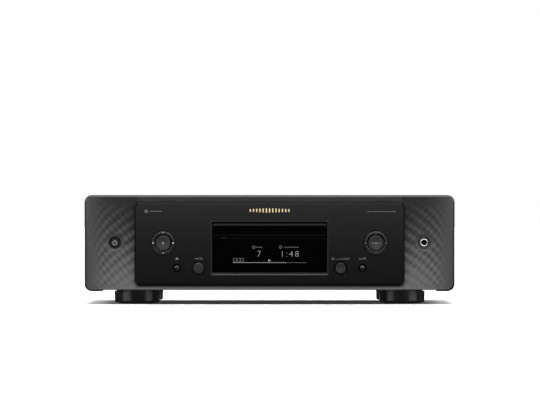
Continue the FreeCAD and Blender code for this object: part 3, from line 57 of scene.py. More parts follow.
# Numbers of the two colours among a mixing node's inputs, and of the mixed one among its outputs
FIRST_COLOUR = 6
SECOND_COLOUR = 7
MIXED_COLOUR = 2

Point = tuple[float, float, float]
Socket = bpy.types.NodeSocket
Shader = bpy.types.ShaderNode
Tree = bpy.types.ShaderNodeTree
Object = bpy.types.Object


# Names and small helpers


class Side(Enum):
    """Side of the player, seen from the front, with its sign along X."""

    LEFT = -1
    RIGHT = 1


class Pointing(Enum):
    """Way a triangle points, seen from the front, as its turn in degrees from pointing right."""

    RIGHT = 0
    UP = 90
    LEFT = 180
    DOWN = 270


class Reach(Enum):
    """What a list of pieces means to a light."""

    SPARED = "EXCLUDE"
    ONLY = "INCLUDE"


def linear(code: str) -> tuple[float, float, float, float]:
    """Turn an sRGB hex value into linear colour.

    Args:
        code: six hex digits after a hash sign.

    Returns:
        Red, green, blue and full alpha.
    """
    parts = [int(code[i : i + 2], 16) / 255 for i in (1, 3, 5)]
    red, green, blue = (c / 12.92 if c <= 0.04045 else ((c + 0.055) / 1.055) ** 2.4 for c in parts)
    return red, green, blue, 1.0


def add_node(
    tree: Tree, kind: str, settings: dict | None = None, links: dict | None = None
) -> Shader:
    """Add one node to a material.

    Args:
        tree: the material's nodes.
        kind: the node's type name.
        settings: values by attribute name, or by the name or number of an input. The name stops is
            for a colour ramp: the place and the sRGB hex colour of both its ends.
        links: sockets to join, by the name or number of an input.

    Returns:
        The new node.
    """
    node = tree.nodes.new(kind)
    for name, value in (settings or {}).items():
        if name == "stops":
            for end, (place, code) in zip(node.color_ramp.elements, value):
                end.position = place
                end.color = linear(code)
        elif isinstance(name, int) or name in node.inputs:
            node.inputs[name].default_value = value
        else:
            setattr(node, name, value)
    for name, socket in (links or {}).items():
        tree.links.new(socket, node.inputs[name])
    return node


def clamped(value: float) -> float:
    """Keep a value between 0 and 1."""
    return min(1.0, max(0.0, value))


def ripple(phase: float) -> float:
    """Height of a row of soft ridges: 1 at each whole phase, and 0 halfway between two."""
    return (1 + math.cos(2 * math.pi * phase)) / 2


def start_with(operator: Callable, **settings: object) -> Object:
    """Add a primitive with nothing else selected.

    Args:
        operator: the operator that adds it.
        settings: the operator's settings.

    Returns:
        The new object.
    """
    bpy.ops.object.select_all(action="DESELECT")
    operator(**settings)
    return bpy.context.object


def only(piece: Object) -> None:
    """Make one object the selected and active one.

    Args:
        piece: the object.
    """
    bpy.ops.object.select_all(action="DESELECT")
    piece.select_set(True)
    bpy.context.view_layer.objects.active = piece


def settle(piece: Object) -> Object:
    """Put a piece's place, turn and size into its mesh.

    Args:
        piece: the object, with any place, turn and size.

    Returns:
        The same object, at the origin.
    """
    only(piece)
    bpy.ops.object.transform_apply(location=True, rotation=True, scale=True)
    return piece


def edit_all(piece: Object) -> None:
    """Go into edit mode with the whole of a piece's mesh selected.

    Args:
        piece: the object.
    """
    only(piece)
    bpy.ops.object.mode_set(mode="EDIT")
    bpy.ops.mesh.select_all(action="SELECT")


def leave_edit() -> None:
    """Go back to object mode."""
    bpy.ops.object.mode_set(mode="OBJECT")


def outward(piece: Object) -> Object:
    """Merge doubles and turn every face outwards.

    Args:
        piece: the object, with a closed mesh.

    Returns:
        The same object.
    """
    edit_all(piece)
    bpy.ops.mesh.remove_doubles(threshold=DOUBLE)
    bpy.ops.mesh.normals_make_consistent(inside=False)
    leave_edit()
    return piece


def joined(pieces: list[Object], name: str) -> Object:
    """Join objects into one piece.

    Args:
        pieces: the objects.
        name: the name of the joined piece.

    Returns:
        The joined piece.
    """
    first = pieces[0]
    only(first)
    for piece in pieces[1:]:
        piece.select_set(True)
    if len(pieces) > 1:
        bpy.ops.object.join()
    first.name = first.data.name = name
    return first


# Finishes


@dataclass(frozen=True)
class Recipe:
    """Material in the making: its nodes, its surface shader, and the object's coordinates in metres."""

    tree: Tree
    shader: Shader
    place: Socket

    def link(self, socket: Socket, entry: str) -> None:
        """Link a socket to an input of the shader."""
        self.tree.links.new(socket, self.shader.inputs[entry])

    def source(self, entry: str) -> Socket:
        """Socket that an input of the shader is linked to."""
        return self.shader.inputs[entry].links[0].from_socket

    def vary(
        self,
        value: Socket,
        shades: tuple[str, str] | None = None,
        ends: tuple[float, float] = (0.0, 1.0),
        gloss: tuple[float, float] | None = None,
        relief: tuple[float, float] | None = None,
    ) -> None:
        """Let one pattern change the colour, the gloss and the relief.

        Args:
            value: the pattern, from 0 to 1.
            shades: colours at both ends of the change in colour.
            ends: values of the pattern at those ends.
            gloss: roughness at both ends of the pattern's usual span.
            relief: strength of the relief, and its depth in millimetres.
        """
        if shades:
            settings = {"stops": zip(ends, shades)}
            node = add_node(self.tree, "ShaderNodeValToRGB", settings, {"Fac": value})
            self.link(node.outputs["Color"], "Base Color")
        if gloss:
            settings = dict(zip(("From Min", "From Max", "To Min", "To Max"), USUAL_SPAN + gloss))
            node = add_node(self.tree, "ShaderNodeMapRange", settings, {"Value": value})
            self.link(node.outputs["Result"], "Roughness")
        if relief:
            settings = {"Strength": relief[0], "Distance": relief[1] * MM}
            node = add_node(self.tree, "ShaderNodeBump", settings, {"Height": value})
            self.link(node.outputs["Normal"], "Normal")


@dataclass(frozen=True)
class Band:
    """Part of a face where its finish differs: a rectangle seen from the front, or a strip round one.

    The strip lies between two distances from the rectangle. A distance of nothing is the rectangle.
    """

    middle: tuple[float, float]
    half: tuple[float, float]
    reach: tuple[float, float] = (-0.1, 0.1)
    colour: str | None = None
    roughness: float | None = None

    def _distance(self, recipe: Recipe) -> Socket:
        """Work out how far each point is from the rectangle.

        Args:
            recipe: the material in the making.

        Returns:
            The distance in millimetres, nothing inside the rectangle.
        """
        x, z = self.middle
        steps = (
            ("SUBTRACT", (x * MM, 0.0, z * MM)),
            ("MULTIPLY", (1 / MM, 0.0, 1 / MM)),
            ("ABSOLUTE", None),
            ("SUBTRACT", (self.half[0], 0.0, self.half[1])),
            ("MAXIMUM", (0.0, 0.0, 0.0)),
        )
        vector = recipe.place
        for operation, value in steps:
            settings = {"operation": operation}
            if value is not None:
                settings[1] = value
            node = add_node(recipe.tree, "ShaderNodeVectorMath", settings, {0: vector})
            vector = node.outputs["Vector"]
        length = add_node(recipe.tree, "ShaderNodeVectorMath", {"operation": "LENGTH"}, {0: vector})
        return length.outputs["Value"]

    def apply(self, recipe: Recipe) -> None:
        """Change the finish inside the band.

        Args:
            recipe: the material in the making, with its pattern linked to its colour and roughness.
        """
        low, high = self.reach
        settings = {"operation": "COMPARE", 1: (low + high) / 2, 2: (high - low) / 2}
        links = {0: self._distance(recipe)}
        mask = add_node(recipe.tree, "ShaderNodeMath", settings, links).outputs["Value"]
        if self.colour:
            settings = {"data_type": "RGBA", SECOND_COLOUR: linear(self.colour)}
            links = {0: mask, FIRST_COLOUR: recipe.source("Base Color")}
            mixed = add_node(recipe.tree, "ShaderNodeMix", settings, links)
            recipe.link(mixed.outputs[MIXED_COLOUR], "Base Color")
        if self.roughness is not None:
            links = {"Value": mask, "To Min": recipe.source("Roughness")}
            chosen = add_node(recipe.tree, "ShaderNodeMapRange", {"To Max": self.roughness}, links)
            recipe.link(chosen.outputs["Result"], "Roughness")


@dataclass(frozen=True)
class Finish:
    """What every finish has; each kind adds its own pattern."""

    name: str
    colour: str
    roughness: float
    metallic: float = 0.0
    specular: float = 0.5
    bands: tuple[Band, ...] = ()

    def material(self) -> bpy.types.Material:
        """Make this finish's material, or find it if it is there.

        Returns:
            The material.
        """
        found = bpy.data.materials.get(self.name)
        if found:
            return found
        made = bpy.data.materials.new(self.name)
        made.use_nodes = True
        made.diffuse_color = linear(self.colour)
        tree = made.node_tree
        shader = tree.nodes["Principled BSDF"]
        shader.inputs["Base Color"].default_value = linear(self.colour)
        shader.inputs["Roughness"].default_value = self.roughness
        shader.inputs["Metallic"].default_value = self.metallic
        if not self.metallic:
            shader.inputs["Specular IOR Level"].default_value = self.specular
        recipe = Recipe(tree, shader, add_node(tree, "ShaderNodeTexCoord").outputs["Object"])
        self.texture(recipe)
        for band in self.bands:
            band.apply(recipe)
        return made

    def texture(self, recipe: Recipe) -> None:
        """Add the finish's own pattern.

        Args:
            recipe: the material in the making.
        """

    def dress(self, *pieces: Object) -> None:
        """Give this finish to pieces in place of what they have.

        Args:
            pieces: the pieces.
        """
        material = self.material()
        for piece in pieces:
            piece.data.materials.clear()
            piece.data.materials.append(material)


@dataclass(frozen=True)
class Brushed(Finish):
    """Metal brushed along one axis, so its lights are drawn out across the strokes.

    Real strokes are about 0.05 mm wide and would not show, so they are drawn as wide as stroke_mm.
    """

    stroke_mm: float = 0.9
    stretch: Point = (0.012, 1.0, 1.0)
    relief: float = 0.5
    depth_mm: float = 0.004
    shades: tuple[str, str] = ("#202124", "#2a2b2e")
    roughness_span: tuple[float, float] = (0.3, 0.42)

    def texture(self, recipe: Recipe) -> None:
        """Add strokes to the colour, the gloss and the relief.

        Args:
            recipe: the material in the making.
        """
        settings = {"Scale": self.stretch}
        drawn = add_node(recipe.tree, "ShaderNodeMapping", settings, {"Vector": recipe.place})
        settings = {"Scale": 1 / (self.stroke_mm * MM), "Detail": 4.0, "Roughness": 0.7}
        links = {"Vector": drawn.outputs["Vector"]}
        strokes = add_node(recipe.tree, "ShaderNodeTexNoise", settings, links)
        relief = (self.relief, self.depth_mm)
        recipe.vary(strokes.outputs["Fac"], self.shades, (0.3, 0.7), self.roughness_span, relief)


@dataclass(frozen=True)
class Turned(Finish):
    """Metal cut on a lathe: rings about an axis along Y through one point of the front.

    Real tool marks are about 0.1 mm apart; they are drawn as wide as ring_mm.
    """

    centre: tuple[float, float] = (0.0, 0.0)
    ring_mm: float = 0.35
    relief: float = 0.4
    depth_mm: float = 0.003
    roughness_span: tuple[float, float] = (0.22, 0.36)

    def texture(self, recipe: Recipe) -> None:
        """Add rings to the gloss and the relief.

        Args:
            recipe: the material in the making.
        """
        x, z = self.centre
        settings = {"Location": (-x * MM, 0.0, -z * MM), "Scale": (1.0, 0.0, 1.0)}
        moved = add_node(recipe.tree, "ShaderNodeMapping", settings, {"Vector": recipe.place})
        links = {0: moved.outputs["Vector"]}
        reach = add_node(recipe.tree, "ShaderNodeVectorMath", {"operation": "LENGTH"}, links)
        settings = {"noise_dimensions": "1D", "Scale": 1 / (self.ring_mm * MM), "Detail": 2.0}
        rings = add_node(recipe.tree, "ShaderNodeTexNoise", settings, {"W": reach.outputs["Value"]})
        relief = (self.relief, self.depth_mm)
        recipe.vary(rings.outputs["Fac"], gloss=self.roughness_span, relief=relief)


@dataclass(frozen=True)
class Grained(Finish):
    """Fine even grain in shade, gloss and relief: moulded plastic, paint, print or plating.

    A real spark-eroded grain is about 0.05 mm and would not show, so it is drawn as wide as grain_mm.
    """

    grain_mm: float = 0.5
    relief: float = 0.35
    depth_mm: float = 0.02
    shades: tuple[str, str] = ("#26272a", "#2c2d30")
    roughness_span: tuple[float, float] = (0.4, 0.5)

    def texture(self, recipe: Recipe) -> None:
        """Add grain to the colour, the gloss and the relief.

        Args:
            recipe: the material in the making.
        """
        settings = {"Scale": 1 / (self.grain_mm * MM), "Detail": 3.0, "Roughness": 0.6}
        grain = add_node(recipe.tree, "ShaderNodeTexNoise", settings, {"Vector": recipe.place})
        relief = (self.relief, self.depth_mm)
        recipe.vary(grain.outputs["Fac"], self.shades, (0.35, 0.65), self.roughness_span, relief)


@dataclass(frozen=True)
class Crystallised(Finish):
    """Zinc-plated sheet: large soft crystals that differ a little in gloss and shade."""

    crystal_mm: float = 9.0
    shades: tuple[str, str] = ("#8d9092", "#a3a6a8")
    roughness_span: tuple[float, float] = (0.3, 0.48)

    def texture(self, recipe: Recipe) -> None:
        """Add crystals to the colour and the gloss.

        Args:
            recipe: the material in the making.
        """
        settings = {"Scale": 1 / (self.crystal_mm * MM)}
        cells = add_node(recipe.tree, "ShaderNodeTexVoronoi", settings, {"Vector": recipe.place})
        grey = add_node(recipe.tree, "ShaderNodeRGBToBW", links={"Color": cells.outputs["Color"]})
        recipe.vary(grey.outputs["Val"], self.shades, (0.2, 0.8), self.roughness_span)


@dataclass(frozen=True)
class Populated(Finish):
    """Circuit board: green resist over copper, with long thin tracks and few crossings.

    Real tracks are about 0.3 mm wide and 1.3 mm apart. On a lying board, what stands on it is black.
    """

    parts_over: float | None = None
    shade_mm: float = 30.0
    pitch_mm: float = 1.3
    track_mm: float = 0.3
    run_mm: float = 34.0
    relief: float = 0.3
    copper_mm: float = 0.035

    def texture(self, recipe: Recipe) -> None:
        """Add tracks to the colour and the relief.

        Args:
            recipe: the material in the making.
        """
        settings = {
            "offset": 0.37,
            "offset_frequency": 3,
            "squash": 0.55,
            "squash_frequency": 5,
            "Scale": 1 / (self.pitch_mm * MM),
            "Brick Width": self.run_mm / self.pitch_mm,
            "Row Height": 1.0,
            "Color1": linear("#0c3f26"),
            "Color2": linear("#0f472b"),
            "Mortar": linear("#1c5f3c"),
            "Mortar Size": self.track_mm / self.pitch_mm / 2,
        }
        tracks = add_node(recipe.tree, "ShaderNodeTexBrick", settings, {"Vector": recipe.place})
        colour = tracks.outputs["Color"]
        if self.parts_over is not None:
            colour = self._parts(recipe, colour)
        recipe.link(colour, "Base Color")
        recipe.vary(tracks.outputs["Fac"], relief=(self.relief, self.copper_mm))

    def _parts(self, recipe: Recipe, board: Socket) -> Socket:
        """Colour what stands on the board as moulded epoxy, a little uneven in shade.

        Args:
            recipe: the material in the making.
            board: the board's own colour.

        Returns:
            The colour of the board and its parts.
        """
        place = {"Vector": recipe.place}
        height = add_node(recipe.tree, "ShaderNodeSeparateXYZ", links=place).outputs["Z"]
        settings = {"operation": "GREATER_THAN", 1: self.parts_over * MM}
        over = add_node(recipe.tree, "ShaderNodeMath", settings, {0: height}).outputs["Value"]
        settings = {"Scale": 1 / (self.shade_mm * MM)}
        shade = add_node(recipe.tree, "ShaderNodeTexNoise", settings, place).outputs["Fac"]
        settings = {"stops": ((0.4, "#141516"), (0.6, "#2a2b2e"))}
        epoxy = add_node(recipe.tree, "ShaderNodeValToRGB", settings, {"Fac": shade}).outputs["Color"]
        links = {0: over, FIRST_COLOUR: board, SECOND_COLOUR: epoxy}
        mixed = add_node(recipe.tree, "ShaderNodeMix", {"data_type": "RGBA"}, links)
        return mixed.outputs[MIXED_COLOUR]


@dataclass(frozen=True)
class Wound(Finish):
    """Enamelled copper wire under clear tape, wound round a ring that stands on a Z axis."""

    centre: tuple[float, float] = (0.0, 0.0)
    turns: int = 96
    shades: tuple[str, str] = ("#3a1f10", "#8a4f24")

    def texture(self, recipe: Recipe) -> None:
        """Add the turns of wire, each across the ring.

        Args:
            recipe: the material in the making.
        """
        x, y = self.centre
        settings = {"Location": (-x * MM, -y * MM, 0.0)}
        moved = add_node(recipe.tree, "ShaderNodeMapping", settings, {"Vector": recipe.place})
        links = {"Vector": moved.outputs["Vector"]}
        around = add_node(recipe.tree, "ShaderNodeTexGradient", {"gradient_type": "RADIAL"}, links)
        settings = {"operation": "MULTIPLY", 1: float(self.turns)}
        angle = add_node(recipe.tree, "ShaderNodeMath", settings, {0: around.outputs["Fac"]})
        settings = {"operation": "PINGPONG", 1: 0.5}
        saw = add_node(recipe.tree, "ShaderNodeMath", settings, {0: angle.outputs["Value"]})
        recipe.vary(saw.outputs["Value"], self.shades, (0.0, 0.4))


@dataclass(frozen=True)
class Lit(Finish):
    """Surface that gives light of its own, all over or in a grid of square dots."""

    light: str = "#ffffff"
    glow: float = 1.0
    dot_mm: float | None = None

    def texture(self, recipe: Recipe) -> None:
        """Make the surface give light.

        Args:
            recipe: the material in the making.
        """
        recipe.shader.inputs["Emission Color"].default_value = linear(self.light)
        recipe.shader.inputs["Emission Strength"].default_value = self.glow
        if self.dot_mm is None:
            return
        settings = {"Rotation": (-math.pi / 2, 0.0, 0.0)}
        upright = add_node(recipe.tree, "ShaderNodeMapping", settings, {"Vector": recipe.place})
        settings = {
            "offset": 0.0,
            "Scale": 1 / (self.dot_mm * MM),
            "Brick Width": 1.0,
            "Row Height": 1.0,
            "Mortar Size": 0.1,
            "Mortar Smooth": 0.0,
            "Color1": linear(self.light),
            "Color2": linear(self.light),
            "Mortar": linear("#050506"),
        }
        links = {"Vector": upright.outputs["Vector"]}
        dots = add_node(recipe.tree, "ShaderNodeTexBrick", settings, links)
        recipe.link(dots.outputs["Color"], "Emission Color")


# Rounding along the outer edge of the surround, with a higher gloss than its spark-eroded face
POLISHED_RIM = Band((0.0, 72.35), (212.5, 48.65), (6.9, 8.9), roughness=0.15)
# Painted light: strips of the surround over and under the plate, painted a shade lighter where the light
# falls brighter on them
PAINTED_LIGHT_OVER_PLATE = Band((0.0, 125.5), (160.0, 3.0), colour="#1d1d1d")
PAINTED_LIGHT_UNDER_PLATE = Band((0.0, 18.0), (160.0, 3.0), colour="#1d1d1d")
# Bevel round the plate's window: a softer outer part, painted lighter as a painted highlight, and a dark
# line of painted shade at its inner edge
WINDOW_BEVEL_PAINTED_HIGHLIGHT = Band((0.0, 66.7), (68.5, 30.7), (0.55, 1.72), colour="#454545", roughness=0.42)
WINDOW_LINE_PAINTED_SHADE = Band((0.0, 66.7), (68.5, 30.7), (0.02, 0.55), colour="#141414")
# Painted shade: lower edge of the plate, painted nearly black where shade falls under the plate
PLATE_FOOT_PAINTED_SHADE = Band((0.0, 23.0), (160.0, 1.2), colour="#0e0e0e")
# Lower bevel of the tray's front strip, painted a shade lighter as a painted highlight: a thin grey line
# over the display
TRAY_BEVEL_PAINTED_HIGHLIGHT = Band((0.0, 82.0), (66.0, 1.3), colour="#060606")
# Crest of the same strip, softer and painted lighter, so that it takes a thin light that is partly a
# painted highlight
TRAY_CREST_PAINTED_HIGHLIGHT = Band((0.0, 94.8), (70.0, 1.3), colour="#0a0a0a", roughness=0.2)

# Anodised aluminium plate, dyed black: a dark metal whose fine horizontal strokes soften what it mirrors
BLACK_PLATE = Brushed(
    "black_anodised_brushed", "#202020", 0.3, 1.0,
    shades=("#1f1f1f", "#212121"), roughness_span=(0.29, 0.32),
    # painted highlight on the window's bevel, painted shade at the window's inner edge and along the
    # plate's foot
    bands=(WINDOW_BEVEL_PAINTED_HIGHLIGHT, WINDOW_LINE_PAINTED_SHADE, PLATE_FOOT_PAINTED_SHADE),
)
# Black lacquer of the tray's front strip: it shows almost nothing but a thin light on its bevel, partly
# a painted highlight
TRAY_PLATE = Grained(
    "black_lacquer", "#010101", 0.1, specular=0.05, grain_mm=2.0, depth_mm=0.001,
    shades=("#010101", "#020202"), roughness_span=(0.09, 0.11), bands=(TRAY_BEVEL_PAINTED_HIGHLIGHT, TRAY_CREST_PAINTED_HIGHLIGHT),
)
# Spark-eroded ABS of the surround: nearly black, a satin that draws the lights out softly
WING_ABS = Grained(
    "satin_black_abs", "#101011", 0.48, shades=("#0e0e0f", "#121213"), roughness_span=(0.46, 0.5),
    bands=(POLISHED_RIM,),
)
# The same plastic behind the plate, with its strips of painted light over and under the plate
PANEL_ABS_WITH_PAINTED_LIGHT = replace(
    WING_ABS, name="satin_black_abs_panel_painted_light", bands=(POLISHED_RIM, PAINTED_LIGHT_OVER_PLATE, PAINTED_LIGHT_UNDER_PLATE)
)
# Plain black ABS of the inner frames and the tray: a low gloss that shows their edges
BLACK_ABS = Grained("black_abs", "#121315", 0.4, grain_mm=0.4, shades=("#101113", "#141517"))
# Glass-filled grey ABS of the button carriers: dull and slightly mottled
GREY_ABS = Grained("grey_abs", "#3b3c3f", 0.5, grain_mm=0.4, shades=("#38393c", "#3e3f42"))
# Semi-gloss black plastic of the feet: two upright lights with soft edges
FOOT_ABS = Grained(
    "semi_gloss_black_foot", "#3a3a3a", 0.26, specular=1.0, grain_mm=0.8, depth_mm=0.002,
    shades=("#393939", "#3b3b3b"), roughness_span=(0.25, 0.28),
)
# Epoxy powder paint on steel: a pebbled black skin that breaks up every light
POWDER_PAINT = Grained(
    "black_powder_paint", "#161719", 0.45, grain_mm=1.2, depth_mm=0.05,
    shades=("#141517", "#191a1c"), roughness_span=(0.38, 0.55),
)
# Zinc-plated steel sheet: cool grey, with a faint patchwork of crystals
ZINC_SHEET = Crystallised("zinc_plated_sheet", "#989b9d", 0.38, 0.9)
# Die-cast aluminium of the pickup, wire-brushed along its travel
BARE_ALUMINIUM = Brushed(
    "wire_brushed_aluminium", "#a4a6a8", 0.35, 1.0, stroke_mm=0.5, stretch=(1.0, 0.05, 1.0),
    shades=("#9a9c9e", "#acaeb0"), roughness_span=(0.28, 0.42),
)
# Centreless-ground steel of the rods: bright, with faint marks round the rod
GROUND_STEEL = Brushed(
    "ground_steel", "#c4c6c8", 0.16, 1.0, stroke_mm=0.4, stretch=(0.05, 1.0, 0.05), depth_mm=0.001,
    shades=("#bcbec0", "#cccdcf"), roughness_span=(0.14, 0.2),
)
# Chromed brass of the headphone ferrule: a small bright mirror
CHROMED_BRASS = Turned(
    "chromed_brass", "#d8dadc", 0.08, 1.0,
    centre=PHONES_CENTRE, depth_mm=0.0004, roughness_span=(0.07, 0.1),
)
# Gold flash over nickel on the sockets: warm, a little uneven in gloss
GOLD_PLATE = Grained(
    "gold_plate", "#c39643", 0.28, 1.0, grain_mm=0.8, depth_mm=0.001,
    shades=("#be9140", "#c89b46"), roughness_span=(0.25, 0.31),
)
# Unfilled acetal of the gears: off-white and waxy
NATURAL_ACETAL = Grained(
    "natural_acetal", "#d9d8d0", 0.42, grain_mm=0.6, depth_mm=0.004, shades=("#d5d4cc", "#dddcd5"),
)
# Moulded neoprene of the foot pads and the belt: matt, with no clear light on it
NEOPRENE = Grained(
    "neoprene", "#17181a", 0.75, grain_mm=0.5, shades=("#151618", "#1a1b1d"), roughness_span=(0.7, 0.82),
)
# Solder resist over copper: glossy green, its tracks a shade lighter
BOARD_RESIST = Populated("board_resist", "#0f4a2c", 0.4)
# The same on the lying boards, with black moulded parts over the board's top face
LYING_BOARD = replace(BOARD_RESIST, name="board_resist_with_parts", parts_over=31.7)
# Copper-plated steel of the converter's can: warm metal with drawn strokes
COPPER_SHIELD = Brushed(
    "copper_plated_sheet", "#b26b4a", 0.35, 1.0, stroke_mm=0.8,
    shades=("#a8623f", "#bd7654"), roughness_span=(0.3, 0.42),
)
# Black oxide on steel screws: dark, with a dull metal light
BLACK_OXIDE = Grained(
    "black_oxide_steel", "#1c1d1f", 0.38, 0.8, grain_mm=0.4, depth_mm=0.003,
    shades=("#191a1c", "#1f2022"), roughness_span=(0.34, 0.42),
)
# Cast smoked acrylic of the display lens: clear gloss over black
SMOKED_ACRYLIC = Grained(
    "smoked_acrylic", "#010101", 0.08, specular=0.05, grain_mm=6.0, depth_mm=0.0005,
    shades=("#010101", "#020202"), roughness_span=(0.07, 0.09),
)
# Screen-printed marks: a pale grey ink on the ring, a darker one for the small signs, and a pale gold
WHITE_INK = Grained(
    "pale_grey_ink", "#8a8b8c", 0.55, grain_mm=0.3, depth_mm=0.002,
    shades=("#858687", "#8f9091"), roughness_span=(0.5, 0.6),
)
DIM_INK = Grained(
    "grey_ink", "#606162", 0.55, grain_mm=0.3, depth_mm=0.002,
    shades=("#5c5d5e", "#646566"), roughness_span=(0.5, 0.6),
)
GOLD_INK = Grained(
    "gold_leaf_print", "#9c8c68", 0.4, 0.2, grain_mm=0.3, depth_mm=0.002,
    shades=("#978763", "#a1916d"), roughness_span=(0.36, 0.44),
)
# Painted shade: near-black crosses that stand for the shade inside the screws' cross recesses
RECESS_PAINTED_SHADE = Grained("painted_recess_shade", "#030304", 0.7, shades=("#020203", "#040405"))
# Dots of the display behind the smoked lens: black when dark, with a cool white light
BRIGHT_PIXEL = Lit("display_dots_bright", "#050506", 0.5, light="#eef2f8", glow=0.5, dot_mm=0.5)
DIM_PIXEL = Lit("display_dots_dim", "#050506", 0.5, light="#eef2f8", glow=0.2, dot_mm=0.5)


# Flat marks


@dataclass
class Stencil:
    """Thin marks on an upright face that looks to the front, drawn one by one and then joined.

    They stand proud of the face and are sunk in it by a hair, so that nothing shows between.
    """

    face_y: float
    proud: float = 0.03
    sunk: float = 0.05
    round_corners: int = 40
    ring_corners: int = 48
    figure_steps: int = 4
    figure_offset: float = -0.02
    figure_space: float = 1.3
    drawn: list[Object] = field(default_factory=list)

    def _raise(self, mark: Object, x: float, z: float, turn: float = 0.0) -> None:
        """Stand a flat mark up, from just behind the face to just before it.

        Args:
            mark: the mark, drawn flat about the origin.
            x: its place, to the right.
            z: its place, upwards.
            turn: degrees it is turned by, against the clock.
        """
        mark.rotation_euler = (UPRIGHT[0], -math.radians(turn), 0.0)
        mark.location = (x * MM, (self.face_y + self.sunk) * MM, z * MM)
        edit_all(settle(mark))
        bpy.ops.mesh.extrude_region_move(
            TRANSFORM_OT_translate={"value": (0.0, -(self.proud + self.sunk) * MM, 0.0)}
        )
        leave_edit()
        self.drawn.append(outward(mark))

    def polygon(
        self, x: float, z: float, width: float, height: float, corners: int, turn: float = 0.0
    ) -> None:
        """Draw a filled regular polygon, stretched to a size.

        Args:
            x: middle, to the right.
            z: middle, upwards.
            width: full width of the round it is cut from.
            height: full height of that round.
            corners: number of corners.
            turn: degrees that the corners are turned by.
        """
        mark = start_with(
            bpy.ops.mesh.primitive_circle_add,
            vertices=corners,
            radius=0.5,
            fill_type="NGON",
            rotation=(0, 0, math.radians(turn)),
        )
        bpy.ops.object.transform_apply(location=False, rotation=True, scale=False)
        mark.scale = (width * MM, height * MM, 1.0)
        self._raise(mark, x, z)

    def bar(self, x: float, z: float, width: float, height: float) -> None:
        """Draw a filled rectangle about its middle."""
        self.polygon(x, z, width * math.sqrt(2), height * math.sqrt(2), corners=4, turn=45.0)

    def disc(self, x: float, z: float, radius: float) -> None:
        """Draw a filled round."""
        self.polygon(x, z, 2 * radius, 2 * radius, self.round_corners)

    def triangle(self, x: float, z: float, width: float, height: float, way: Pointing) -> None:
        """Draw a filled triangle in a box.

        Args:
            x: middle of the box.
            z: middle of the box.
            width: the box's width.
            height: the box's height.
            way: where its tip points.
        """
        across, up = (width, height) if way in (Pointing.LEFT, Pointing.RIGHT) else (height, width)
        mark = start_with(bpy.ops.mesh.primitive_circle_add, vertices=3, radius=1.0, fill_type="NGON")
        for vertex, corner in zip(mark.data.vertices, ((-0.5, 0.5), (-0.5, -0.5), (0.5, 0.0))):
            vertex.co = (corner[0] * across * MM, corner[1] * up * MM, 0.0)
        self._raise(mark, x, z, way.value)

    def ring(self, x: float, z: float, outer: float, line: float) -> None:
        """Draw an open ring.

        Args:
            x: middle, to the right.
            z: middle, upwards.
            outer: outer radius.
            line: width of its line.
        """
        mark = start_with(
            bpy.ops.mesh.primitive_circle_add,
            vertices=self.ring_corners,
            radius=outer * MM,
            fill_type="NGON",
        )
        edit_all(mark)
        bpy.ops.mesh.inset(thickness=line * MM)
        bpy.ops.mesh.delete(type="FACE")
        leave_edit()
        self._raise(mark, x, z)

    def frame(self, x: float, z: float, width: float, height: float, line: float) -> None:
        """Draw an open rectangle from four bars.

        Args:
            x: middle, to the right.
            z: middle, upwards.
            width: outer width.
            height: outer height.
            line: width of its line.
        """
        for way in (-1, 1):
            self.bar(x, z + way * (height - line) / 2, width, line)
            self.bar(x + way * (width - line) / 2, z, line, height - 2 * line)

    def figures(self, words: str, x: float, z: float, height: float) -> None:
        """Set plain numbers.

        Args:
            words: the numbers.
            x: their left end.
            z: their base line.
            height: height of a figure.
        """
        text = start_with(bpy.ops.object.text_add).data
        text.body = words
        text.resolution_u = self.figure_steps
        text.offset = self.figure_offset
        text.space_character = self.figure_space
        bpy.ops.object.convert(target="MESH")
        mark = bpy.context.object
        tall = max(v.co.y for v in mark.data.vertices)
        low = min(v.co.x for v in mark.data.vertices)
        mark.data.transform(Matrix.Translation((-low, 0, 0)))
        mark.scale = (height * MM / tall,) * 3
        self._raise(mark, x, z)

    def piece(self, name: str, body: str, slot: str, finish: Finish) -> Object:
        """Join the marks into one piece.

        Args:
            name: the piece's name.
            body: the body that carries it.
            slot: not used.
            finish: what it is made of.

        Returns:
            The piece.
        """
        made = joined(self.drawn, name)
        finish.dress(made)
        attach(made, body)
        return made


# Sub-assemblies


